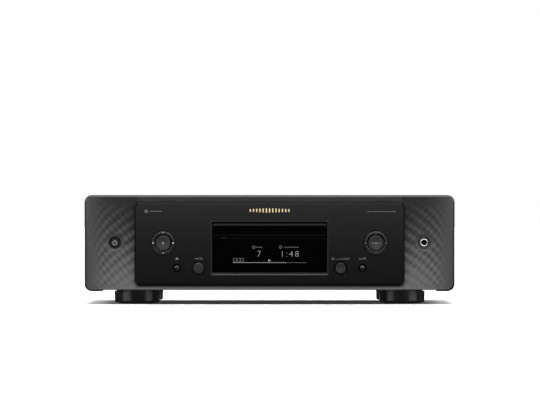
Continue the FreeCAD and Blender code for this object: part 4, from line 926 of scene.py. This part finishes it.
@dataclass
class WingRelief:
    """Soft ripples on the dished face of one side wing.

    Ridges climb from the rim towards the face plate, less steeply as they go in. Finer ripples climb the
    other way over them, so that each ridge reads as a chain of pillows.

    A fade is the room left plain beside an edge, and the width over which the ripples then grow.
    """

    side: Side
    # Edges of the skin, Y of its hidden back, and where the face plate's end meets the wing
    seam: float = 159.0
    inner: float = 159.8
    outer: float = 218.0
    low: float = 17.4
    high: float = 127.6
    back: float = -187.0
    # The wing's dished face under it: its edges, Y of its rim, and how deep it is at the seam
    wing_low: float = 17.3
    wing_high: float = 127.8
    face: float = -200.0
    dish: float = 10.0
    dish_power: float = 0.8
    least_dish: float = 0.05
    # The ridges, which bend into a steeper hook near the rim
    ridge_pitch: float = 13.0
    ridge_top: float = 6.3
    ridge_slope: float = 0.62
    ridge_bend: float = 0.0085
    ridge_swell: float = 0.33
    hook: float = 0.7
    hook_reach: float = 47.5
    hook_power: int = 7
    # The finer ripples, which lose a share of their height towards the top
    cross_pitch: float = 9.9
    cross_top: float = 9.4
    cross_slope: float = 1.27
    cross_swell: float = 0.2
    cross_loss: float = 0.35
    cross_loss_from: float = 45.0
    cross_loss_over: float = 50.0
    # Where the ripples fade out, and how far the skin lies over the face and sinks at its edges
    outer_fade: tuple[float, float] = (2.0, 21.0)
    upper_fade: tuple[float, float] = (3.0, 19.0)
    lower_fade: tuple[float, float] = (1.0, 8.0)
    hole_fade: tuple[float, float] = (0.4, 2.5)
    lift: float = 0.05
    tuck: float = 0.16
    tuck_over: float = 5.0
    tuck_past_seam: float = 3.0
    # The hole for the wing's control, and how finely the skin is divided
    control: tuple[float, float] = PHONES_CENTRE
    hole: float = 8.1
    hole_corners: int = 96
    drill_length: float = 60.0
    across: int = 130
    upward: int = 240
    smooth_angle: float = 35.0

    def surface(self, x: float, z: float) -> float:
        """Y of the dished face.

        Args:
            x: distance from the player's middle.
            z: height.

        Returns:
            The face's place from front to back.
        """
        share = clamped((self.outer - x) / (self.outer - self.seam))
        depth = self.dish * math.sin(math.pi / 2 * share) ** self.dish_power
        if depth < self.least_dish:
            return self.face
        # The face is an arc from the lower rim over its deepest point to the upper rim
        half = (self.wing_high - self.wing_low) / 2
        radius = (half * half + depth * depth) / (2 * depth)
        reach = z - (self.wing_high + self.wing_low) / 2
        return self.face + depth - radius + math.sqrt(max(0.0, radius * radius - reach * reach))

    def strength(self, x: float, z: float) -> float:
        """How strong the relief is at a point.

        Args:
            x: distance from the player's middle.
            z: height.

        Returns:
            The strength, from 0 to 1.
        """
        from_hole = math.hypot(x - self.control[0], z - self.control[1]) - self.hole
        fades = (
            (self.outer - x, self.outer_fade),
            (self.high - z, self.upper_fade),
            (z - self.low, self.lower_fade),
            (from_hole, self.hole_fade),
        )
        strength = 1.0
        for reach, (plain, wide) in fades:
            share = clamped((reach - plain) / wide)
            strength *= share * share * (3 - 2 * share)
        return strength

    def height(self, x: float, z: float) -> float:
        """Height of the relief over the face.

        Args:
            x: distance from the player's middle.
            z: height.

        Returns:
            The height, a little under the face at the relief's own edges.
        """
        out = x - self.seam
        climb = (
            self.ridge_slope * out
            + self.ridge_bend * out * out / 2
            + self.hook * self.hook_reach / self.hook_power * (out / self.hook_reach) ** self.hook_power
        )
        ridge = ripple((z + climb - self.ridge_top) / self.ridge_pitch)
        cross = ripple((z - self.cross_slope * out - self.cross_top) / self.cross_pitch)
        cross *= 1.0 - self.cross_loss * clamped((z - self.cross_loss_from) / self.cross_loss_over)
        inside = min(out + self.tuck_past_seam, self.outer - x, z - self.low, self.high - z)
        tuck = self.tuck * (1.0 - clamped(inside / self.tuck_over)) ** 2
        pillow = self.ridge_swell * ridge + self.cross_swell * cross
        return self.lift - tuck + pillow * self.strength(x, z)

    def build(self) -> list[Object]:
        """Make the relief as a closed skin seated in the wing.

        Returns:
            The piece.
        """
        skin = start_with(
            bpy.ops.mesh.primitive_grid_add,
            x_subdivisions=self.across,
            y_subdivisions=self.upward,
            size=2.0,
        )
        for vertex in skin.data.vertices:
            x = self.inner + (self.outer - self.inner) * (vertex.co.x + 1) / 2
            z = self.low + (self.high - self.low) * (vertex.co.y + 1) / 2
            y = self.surface(x, z) - self.height(x, z)
            vertex.co = (self.side.value * x * MM, y * MM, z * MM)
        edit_all(skin)
        bpy.ops.mesh.region_to_loop()
        bpy.ops.mesh.extrude_region_move(TRANSFORM_OT_translate={"value": (0.0, MM, 0.0)})
        leave_edit()
        for vertex in skin.data.vertices:
            if vertex.select:
                vertex.co.y = self.back * MM
        bpy.ops.object.mode_set(mode="EDIT")
        bpy.ops.mesh.edge_face_add()
        leave_edit()
        self._open_hole(outward(skin))
        bpy.ops.object.shade_smooth_by_angle(angle=math.radians(self.smooth_angle))
        skin.name = skin.data.name = f"{self.side.name.lower()}_wing_relief"
        WING_ABS.dress(skin)
        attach(skin, "player")
        return [skin]

    def _open_hole(self, skin: Object) -> None:
        """Cut the round hole for the wing's control.

        Args:
            skin: the closed skin.
        """
        x, z = self.control
        drill = start_with(
            bpy.ops.mesh.primitive_cylinder_add,
            vertices=self.hole_corners,
            radius=self.hole * MM,
            depth=self.drill_length * MM,
            location=(self.side.value * x * MM, self.face * MM, z * MM),
            rotation=UPRIGHT,
        )
        only(skin)
        cut = skin.modifiers.new("hole", "BOOLEAN")
        cut.operation = "DIFFERENCE"
        cut.object = drill
        cut.solver = "EXACT"
        bpy.ops.object.modifier_apply(modifier=cut.name)
        bpy.data.objects.remove(drill)


@dataclass
class RingMarks:
    """What the marks on both rings share: the faces they lie on, and how far out they are."""

    ring_face: float = -206.4
    button_face: float = -206.85
    radius: float = 12.05


@dataclass
class TransportMarks(RingMarks):
    """Marks on the left ring and its button: stop, skip, pause and play.

    A size is a width and a height.
    """

    centre: tuple[float, float] = TRANSPORT_CENTRE
    skip_arrow: tuple[float, float] = (1.1, 1.7)
    skip_bar: tuple[float, float] = (0.6, 1.7)
    skip_gap: float = 0.9
    square: float = 1.2
    dot: float = 0.8
    play_arrow: tuple[float, float] = (2.2, 3.5)

    def build(self) -> list[Object]:
        """Draw the marks.

        Returns:
            The pieces on the ring and on the button.
        """
        x, z = self.centre
        ring = Stencil(self.ring_face)
        for way, sign in ((Pointing.LEFT, -1), (Pointing.RIGHT, 1)):
            inner = x + sign * (self.radius - 0.4)
            ring.triangle(inner, z, *self.skip_arrow, way)
            ring.bar(inner + sign * self.skip_gap, z, *self.skip_bar)
        lower = Stencil(self.ring_face)
        lower.bar(x, z + self.radius, self.square, self.square)
        lower.disc(x, z - self.radius, self.dot)
        button = Stencil(self.button_face)
        button.triangle(x + 0.1, z, *self.play_arrow, Pointing.RIGHT)
        return [
            ring.piece("transport_marks", "transport", "transport_ring", WHITE_INK),
            lower.piece("transport_dots", "transport", "transport_ring", DIM_INK),
            button.piece("play_mark", "play", "play_button", DIM_INK),
        ]


@dataclass
class CursorMarks(RingMarks):
    """Marks on the right ring and its button: four ways and a confirming dot.

    A size is a width and a height.
    """

    centre: tuple[float, float] = CURSOR_CENTRE
    upright_arrow: tuple[float, float] = (1.2, 1.5)
    level_arrow: tuple[float, float] = (1.0, 1.1)
    dot: float = 1.0
    dot_line: float = 0.3
    dash: tuple[float, float] = (3.2, 0.45)
    dash_out: float = 3.3

    def build(self) -> list[Object]:
        """Draw the marks.

        Returns:
            The pieces on the ring and on the button.
        """
        x, z = self.centre
        ring = Stencil(self.ring_face)
        for way, sign in ((Pointing.UP, 1), (Pointing.DOWN, -1)):
            ring.triangle(x, z + sign * self.radius, *self.upright_arrow, way)
        for way, sign in ((Pointing.LEFT, -1), (Pointing.RIGHT, 1)):
            ring.triangle(x + sign * self.radius, z, *self.level_arrow, way)
        button = Stencil(self.button_face)
        button.ring(x, z, self.dot, self.dot_line)
        for sign in (-1, 1):
            button.bar(x + sign * self.dash_out, z, *self.dash)
        return [
            ring.piece("cursor_marks", "cursor", "cursor_ring", DIM_INK),
            button.piece("enter_mark", "enter", "enter_button", DIM_INK),
        ]


@dataclass
class PlateMarks:
    """Small printed pictograms on the face plate, and the gold device at its top.

    Within a sign, each stroke is given by its place from the sign's middle, its width and its height.
    """

    face: float = -204.0
    label_z: float = 54.0
    top_z: float = 110.6
    line: float = 0.3
    eject_x: float = -110.8
    source_x: float = -85.0
    headphones_x: float = 85.0
    wedge_bars: int = 10
    wedge_pitch: float = 1.65
    back_x: float = 111.3
    level_ends: tuple[float, float] = (80.1, 90.1)
    level_z: float = 34.0
    disc_x: float = -147.6
    dots: int = 8
    dot_pitch: float = 1.9
    dash_span: tuple[float, float] = (116.8, 151.2)
    dashes: int = 14
    device_z: float = 111.6
    device_proud: float = 0.12
    strokes: int = 13
    stroke_pitch: float = 3.85
    ink: Stencil = field(init=False)

    def __post_init__(self) -> None:
        """Lay the stencil for the pictograms on the plate."""
        self.ink = Stencil(self.face)

    def build(self) -> list[Object]:
        """Draw the marks.

        Returns:
            The printed pieces.
        """
        self._eject()
        self._source()
        self._headphones()
        self._way_back()
        self._level_scale()
        self._disc()
        self._small_row()
        return [
            self.ink.piece("plate_pictograms", "player", "face_plate", DIM_INK),
            self._device(),
        ]

    def _eject(self) -> None:
        """Draw a triangle over a bar."""
        self.ink.triangle(self.eject_x, self.label_z + 0.5, 3.6, 1.8, Pointing.UP)
        self.ink.bar(self.eject_x, self.label_z - 1.2, 3.6, 0.4)

    def _source(self) -> None:
        """Draw an arrow that enters an open box."""
        x, z = self.source_x, self.label_z
        self.ink.bar(x - 2.8, z, 3.2, self.line)
        self.ink.triangle(x - 0.6, z, 1.1, 1.3, Pointing.RIGHT)
        for way in (-1, 1):
            self.ink.bar(x + 2.7, z + way * 0.95, 3.6, self.line)
        self.ink.bar(x + 4.35, z, self.line, 1.6)

    def _headphones(self) -> None:
        """Draw a headband with two ear cups, and a rising wedge of bars for the level."""
        x, z = self.headphones_x, self.label_z
        self.ink.ring(x - 9.0, z - 0.1, 1.4, self.line)
        for sign in (-1, 1):
            self.ink.bar(x - 9.0 + sign * 1.3, z - 0.6, 0.5, 1.1)
        for step in range(self.wedge_bars):
            tall = 0.5 + 0.17 * step
            self.ink.bar(x - 5.0 + self.wedge_pitch * step, z - 1.1 + tall / 2, 0.4, tall)

    def _way_back(self) -> None:
        """Draw an arrow that turns back to the left."""
        x, z = self.back_x, self.label_z
        self.ink.triangle(x - 3.4, z - 0.45, 1.2, 1.3, Pointing.LEFT)
        self.ink.bar(x + 0.4, z - 0.45, 6.4, self.line)
        self.ink.bar(x + 3.5, z + 0.25, self.line, 1.1)
        self.ink.bar(x + 2.0, z + 0.8, 3.2, self.line)

    def _level_scale(self) -> None:
        """Draw the two ends of the knob's travel."""
        for x in self.level_ends:
            self.ink.disc(x, self.level_z, 0.35)

    def _disc(self) -> None:
        """Draw a disc with its hole, and a row of dots after it."""
        self.ink.ring(self.disc_x, self.top_z, 2.0, self.line)
        self.ink.ring(self.disc_x, self.top_z, 0.7, 0.25)
        for i in range(self.dots):
            self.ink.disc(self.disc_x + 4.4 + self.dot_pitch * i, self.top_z, 0.42)

    def _small_row(self) -> None:
        """Draw a row of short dashes."""
        low, high = self.dash_span
        pitch = (high - low) / self.dashes
        for i in range(self.dashes):
            self.ink.bar(low + pitch * (i + 0.5), self.top_z - 0.4, pitch * 0.6, 0.42)

    def _device(self) -> Object:
        """Draw a plain row of upright gold strokes that rise to the middle.

        Returns:
            The printed piece.
        """
        gold = Stencil(self.face, proud=self.device_proud)
        for i in range(self.strokes):
            out = i - (self.strokes - 1) / 2
            gold.bar(out * self.stroke_pitch, self.device_z, 1.5, 5.2 - 0.3 * abs(out))
        return gold.piece("gold_device", "player", "face_plate", GOLD_INK)


@dataclass
class DisplayContent:
    """What the display shows: a number, a time, a play mark and a progress line.

    Each stroke is given by its place, its width and its height.
    """

    face: float = -202.0
    proud: float = 0.02
    top_z: float = 67.6
    figure_z: float = 56.1
    figure_height: float = 7.0
    play_z: float = 51.7
    progress_z: float = 49.2
    disc_x: float = -19.0
    clock_x: float = 13.2
    sign_radius: float = 1.9
    box: float = 3.9
    box_pitch: float = 4.4
    boxes: int = 3
    bold: float = 0.5
    line: float = 0.4
    fine: float = 0.35

    def build(self) -> list[Object]:
        """Draw the lit elements.

        Returns:
            The bright and the dim pieces.
        """
        bright = Stencil(self.face, proud=self.proud)
        bright.figures("7", -14.6, self.figure_z, self.figure_height)
        bright.figures("1:48", 15.0, self.figure_z, self.figure_height)
        bright.triangle(0.0, self.play_z, 2.9, 3.3, Pointing.RIGHT)
        bright.bar(-11.8, self.progress_z, 64.0, 0.55)
        dim = Stencil(self.face, proud=self.proud)
        dim.bar(32.2, self.progress_z, 24.0, 0.3)
        dim.ring(self.disc_x, self.top_z, self.sign_radius, self.line)
        dim.disc(self.disc_x, self.top_z, 0.5)
        dim.bar(self.disc_x + 6.4, self.top_z, 7.6, self.bold)
        dim.ring(self.clock_x, self.top_z, self.sign_radius, self.line)
        dim.bar(self.clock_x, self.top_z + 0.6, self.fine, 1.3)
        dim.bar(self.clock_x + 0.5, self.top_z, 1.1, self.fine)
        dim.bar(self.clock_x + 13.2, self.top_z, 17.6, self.bold)
        for i in range(self.boxes):
            dim.frame(-41.6 + self.box_pitch * i, 52.6, self.box, self.box, self.line)
        return [
            bright.piece("display_bright", "player", "display_lens", BRIGHT_PIXEL),
            dim.piece("display_dim", "player", "display_lens", DIM_PIXEL),
        ]


@dataclass
class PowerMark:
    """Printed sign on the power button: a ring with an upright stroke."""

    centre: tuple[float, float] = (-185.6, 72.9)
    face: float = -189.6
    radius: float = 2.4
    line: float = 0.4
    stroke: tuple[float, float] = (0.45, 1.6)
    stroke_up: float = 2.1

    def build(self) -> list[Object]:
        """Draw the sign.

        Returns:
            The printed piece.
        """
        x, z = self.centre
        sign = Stencil(self.face)
        sign.ring(x, z, self.radius, self.line)
        sign.bar(x, z + self.stroke_up, *self.stroke)
        return [sign.piece("power_sign", "power", "power_button", WHITE_INK)]


@dataclass
class ScrewRecessPaintedShades:
    """Painted shade in the heads of the case screws: near-black crosses where the cross recesses lie in
    shade, at the sides, the rear and under the feet.
    """

    cover_y: tuple[float, ...] = (-140.0, 10.0, 160.0)
    cover_x: float = 220.2
    cover_z: float = 31.6
    rear_x: tuple[float, ...] = (60.0, 205.0)
    rear_z: tuple[float, ...] = (27.0, 121.0)
    rear_y: float = 200.5
    inlet: Point = (-170.0, 202.9, 52.0)
    inlet_reach: float = 19.5
    foot_x: float = 159.0
    foot_y: tuple[float, ...] = (-150.0, 145.0)
    foot_z: float = 7.6
    arm: float = 3.2
    line: float = 0.7
    thick: float = 0.12

    def _heads(self) -> list[tuple[Point, int]]:
        """List the screws' heads.

        Returns:
            Middle of each head, and the axis it looks along as 0, 1 or 2.
        """
        x, y, z = self.inlet
        heads = [((x + sign * self.inlet_reach, y, z), 1) for sign in (-1, 1)]
        for sign in (-1, 1):
            heads += [((sign * self.cover_x, y, self.cover_z), 0) for y in self.cover_y]
            heads += [((sign * x, self.rear_y, z), 1) for x in self.rear_x for z in self.rear_z]
            heads += [((sign * self.foot_x, y, self.foot_z), 2) for y in self.foot_y]
        return heads

    def build(self) -> list[Object]:
        """Make the crosses of painted shade.

        Returns:
            The piece that holds them all.
        """
        bars = []
        for middle, axis in self._heads():
            for turn in (1, 2):
                size = [self.line] * 3
                size[axis] = self.thick
                size[(axis + turn) % 3] = self.arm
                bar = start_with(bpy.ops.mesh.primitive_cube_add, size=1.0)
                bar.scale = Vector(size) * MM
                bar.location = Vector(middle) * MM
                bars.append(settle(bar))
        made = joined(bars, "screw_recess_painted_shades")
        RECESS_PAINTED_SHADE.dress(made)
        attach(made, "player")
        return [made]


@dataclass
class Dressing:
    """Finish of every construction node."""

    finishes: dict[str, Finish] = field(default_factory=dict)
    gloss_swing: float = 0.03

    def __post_init__(self) -> None:
        """Set which node has which finish."""
        # Dark anodised aluminium cut on a lathe, with the tool marks about each control's own middle
        turned = {
            "transport_ring": (TRANSPORT_CENTRE, "#373737", 0.25),
            "play_button": (TRANSPORT_CENTRE, "#363636", 0.34),
            "cursor_ring": (CURSOR_CENTRE, "#373737", 0.25),
            "enter_button": (CURSOR_CENTRE, "#363636", 0.34),
            "eject_button": ((-111.0, 42.7), "#2e2e2f", 0.22),
            "back_button": ((111.0, 42.7), "#2e2e2f", 0.22),
            "input_button": ((-85.0, 42.7), "#363636", 0.34),
            "phones_knob": ((85.0, 42.7), "#363636", 0.34),
        }
        for node, (centre, shade, gloss) in turned.items():
            span = (gloss - self.gloss_swing, gloss + self.gloss_swing)
            self.finishes[node] = Turned(
                f"turned_{node}", shade, gloss, 1.0, centre=centre, roughness_span=span
            )
        self.finishes["power_button"] = Turned(
            "turned_black_power_button", "#1d1e20", 0.26, 0.6, centre=POWER_CENTRE
        )
        self.finishes["power_transformer"] = Wound(
            "wound_copper", "#8a4f24", 0.35, 0.6, centre=(-148.0, -92.0)
        )
        groups = {
            WING_ABS: ("left_wing_panel", "right_wing_panel"),
            PANEL_ABS_WITH_PAINTED_LIGHT: ("centre_backing_panel",),
            BLACK_PLATE: ("face_plate",),
            TRAY_PLATE: ("tray_front",),
            SMOKED_ACRYLIC: ("display_lens",),
            BLACK_ABS: (
                "display_holder", "power_collar", "headphone_socket", "disc_tray", "loader_chassis",
                "mains_inlet", "turntable", "disc_clamp", "filter_capacitors",
            ),
            GREY_ABS: ("transport_ring_carrier", "cursor_ring_carrier", "control_housings"),
            FOOT_ABS: ("feet",),
            POWDER_PAINT: ("chassis_base", "top_cover", "rear_panel", "traverse_chassis"),
            ZINC_SHEET: (
                "front_subframe", "phones_potentiometer", "data_ports", "loading_motor", "spindle_motor",
                "feed_motor", "clamp_bridge", "loader_brackets", "transformer_mount",
            ),
            BARE_ALUMINIUM: ("pickup_sled",),
            GROUND_STEEL: ("sled_rods", "feed_screw"),
            CHROMED_BRASS: ("headphone_ferrule",),
            GOLD_PLATE: ("analogue_sockets", "digital_sockets"),
            NATURAL_ACETAL: ("drive_gear", "pulley_gear", "motor_pulley"),
            NEOPRENE: ("foot_pads", "loading_belt"),
            BOARD_RESIST: ("display_module", "control_boards"),
            LYING_BOARD: ("power_board", "audio_board", "digital_board"),
            COPPER_SHIELD: ("converter_shield",),
            BLACK_OXIDE: ("case_screws",),
        }
        for finish, nodes in groups.items():
            for node in nodes:
                self.finishes[node] = finish

    def build(self) -> None:
        """Give every node its finish."""
        for node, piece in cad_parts.items():
            self.finishes[node].dress(piece)
        LOG.info("dressed %d nodes", len(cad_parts))


@dataclass(frozen=True)
class Softbox:
    """Soft light with a flat face: place and target in millimetres, size in metres, power in watts."""

    name: str
    place: Point
    target: Point
    size: tuple[float, float]
    power: float

    def build(self) -> Object:
        """Make the light, turned towards its target.

        Returns:
            The light.
        """
        data = bpy.data.lights.new(self.name, "AREA")
        data.shape = "RECTANGLE"
        data.size, data.size_y = self.size
        data.energy = self.power
        light = bpy.data.objects.new(self.name, data)
        bpy.context.scene.collection.objects.link(light)
        light.location = Vector(self.place) * MM
        aim = (Vector(self.target) - Vector(self.place)).normalized()
        light.rotation_euler = aim.to_track_quat("-Z", "Y").to_euler()
        return light


@dataclass(frozen=True)
class FarLight:
    """Light so far off that it lights the floor evenly.

    It stands in a direction, gives a power in watts for each square metre, and looks some degrees wide.
    """

    name: str
    towards: Point
    power: float
    wide: float

    def build(self) -> Object:
        """Make the light.

        Returns:
            The light.
        """
        data = bpy.data.lights.new(self.name, "SUN")
        data.energy = self.power
        data.angle = math.radians(self.wide)
        light = bpy.data.objects.new(self.name, data)
        light.rotation_euler = Vector(self.towards).to_track_quat("Z", "Y").to_euler()
        light.visible_glossy = False
        bpy.context.scene.collection.objects.link(light)
        return light


@dataclass
class Studio:
    """White studio: a pale floor, soft lights, and a camera far off, level with the player's face."""

    # The camera's place, its film, how far it sees in metres, and the width of its view at the front
    camera_distance: float = 10000.0
    camera_x: float = 0.5
    camera_z: float = 121.1
    camera_film: float = 36.0
    camera_reach: float = 100.0
    frame_width: float = 646.1
    front: float = -200.0
    # Power of the ceiling light and of each side light, where they stand, and how wide they look
    ceiling: float = 4.35
    ceiling_tilt: float = 35.0
    ceiling_spread: float = 32.0
    side: float = 2.5
    side_slope: tuple[float, float] = (1.2, 0.9)
    side_spread: float = 40.0
    # The floor's width in metres, its own faint light, and the light of the dark room
    floor_width: float = 60.0
    floor_glow: float = 0.04
    room: float = 0.02
    floor: Object | None = None

    def build(self) -> None:
        """Make the camera, the floor, the lights and the sky."""
        self._camera()
        self._floor()
        self._softboxes()
        self._far_lights()
        self._sky()
        bpy.context.scene.view_settings.view_transform = "Standard"

    def _softboxes(self) -> None:
        """Set up the soft lights, each kept off what it would wash out."""
        overhead = Softbox("overhead_softbox", (0, -640, 375), (0, -200, 70), (1.4, 0.55), 11.4).build()
        low = [
            Softbox(
                f"{side.name.lower()}_softbox",
                place=(side.value * 1386, -1000, 250),
                target=(0, -150, 60),
                size=(1.1, 0.8),
                power=3.5,
            ).build()
            for side in Side
        ]
        Softbox("rear_softbox", (0, 1300, 700), (0, 150, 60), (1.4, 0.6), 5.0).build()
        low.append(Softbox("low_rear_softbox", (0, 1300, 75), (0, 150, 70), (1.4, 0.11), 1.6).build())
        low[-1].visible_camera = False
        # Two strips that only show as thin lights along edges which look up or down
        edges = [
            Softbox("ceiling_strip", (0, -300, 1000), (0, -200, 80), (1.2, 0.3), 4.2).build(),
            Softbox("table_strip", (0, -228, 2), (0, -228, 300), (0.46, 0.06), 0.08).build(),
        ]
        for light in edges:
            light.visible_diffuse = False
            light.visible_camera = False
        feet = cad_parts["feet"]
        self._link(low, Reach.SPARED, "spared_by_the_low_softboxes", self.floor)
        self._link([overhead] + edges, Reach.SPARED, "spared_by_the_overhead_lights", self.floor, feet)

    def _far_lights(self) -> None:
        """Light the floor from a ceiling a little behind the player, and from both sides."""
        rise = math.tan(math.radians(self.ceiling_tilt))
        FarLight("ceiling_light", (0.0, rise, 1.0), self.ceiling, self.ceiling_spread).build()
        out, back = self.side_slope
        sides = [
            FarLight(
                f"{side.name.lower()}_floor_light",
                towards=(side.value * out, back, 1.0),
                power=self.side,
                wide=self.side_spread,
            ).build()
            for side in Side
        ]
        self._link(sides, Reach.ONLY, "lit_by_the_floor_lights", self.floor)

    def _camera(self) -> None:
        """Place the camera as the photograph has it."""
        lens = bpy.data.cameras.new("camera")
        lens.sensor_width = self.camera_film
        lens.lens = self.camera_film * self.camera_distance / self.frame_width
        lens.clip_end = self.camera_reach
        camera = bpy.data.objects.new("camera", lens)
        bpy.context.scene.collection.objects.link(camera)
        camera.location = Vector((self.camera_x, self.front - self.camera_distance, self.camera_z)) * MM
        camera.rotation_euler = UPRIGHT
        bpy.context.scene.camera = camera

    def _floor(self) -> None:
        """Lay a wide pale floor."""
        floor = start_with(bpy.ops.mesh.primitive_plane_add, size=self.floor_width)
        floor.name = "floor"
        Lit("shooting_table", "#ffffff", 0.6, light="#f4f4f4", glow=self.floor_glow).dress(floor)
        floor.visible_glossy = False
        self.floor = floor

    def _link(self, lights: list[Object], reach: Reach, name: str, *pieces: Object) -> None:
        """Keep some lights off some pieces, or let them reach only those.

        Without this the front lights would fill the shadow that the ceiling light draws on the floor,
        and the overhead lights would wash out the two upright lights on each foot.

        Args:
            lights: the lights.
            reach: whether the pieces are left out or are the only ones lit.
            name: name of the collection that lists the pieces.
            pieces: the pieces.
        """
        listed = bpy.data.collections.new(name)
        for piece in pieces:
            listed.objects.link(piece)
        for entry in listed.collection_objects:
            entry.light_linking.link_state = reach.value
        for light in lights:
            light.light_linking.receiver_collection = listed

    def _sky(self) -> None:
        """White background for the camera, and a dark room round the player for its lighting."""
        world = bpy.data.worlds.new("sky")
        world.use_nodes = True
        tree = world.node_tree
        seen = add_node(tree, "ShaderNodeLightPath").outputs["Is Camera Ray"]
        strength = add_node(tree, "ShaderNodeMath", {"operation": "MAXIMUM", 0: self.room}, {1: seen})
        background = tree.nodes["Background"]
        background.inputs["Color"].default_value = linear("#ffffff")
        tree.links.new(strength.outputs["Value"], background.inputs["Strength"])
        bpy.context.scene.world = world


def main() -> None:
    """Build the looks in order and report each piece."""
    logging.basicConfig(level=logging.INFO, format="%(name)s %(message)s")
    Studio().build()
    Dressing().build()
    for part in (
        WingRelief(Side.LEFT),
        WingRelief(Side.RIGHT),
        TransportMarks(),
        CursorMarks(),
        PlateMarks(),
        DisplayContent(),
        PowerMark(),
        ScrewRecessPaintedShades(),
    ):
        for piece in part.build():
            LOG.info("%s: %s, %d faces", type(part).__name__, piece.name, len(piece.data.polygons))
    bpy.context.view_layer.update()


if __name__ == "__main__":
    main()
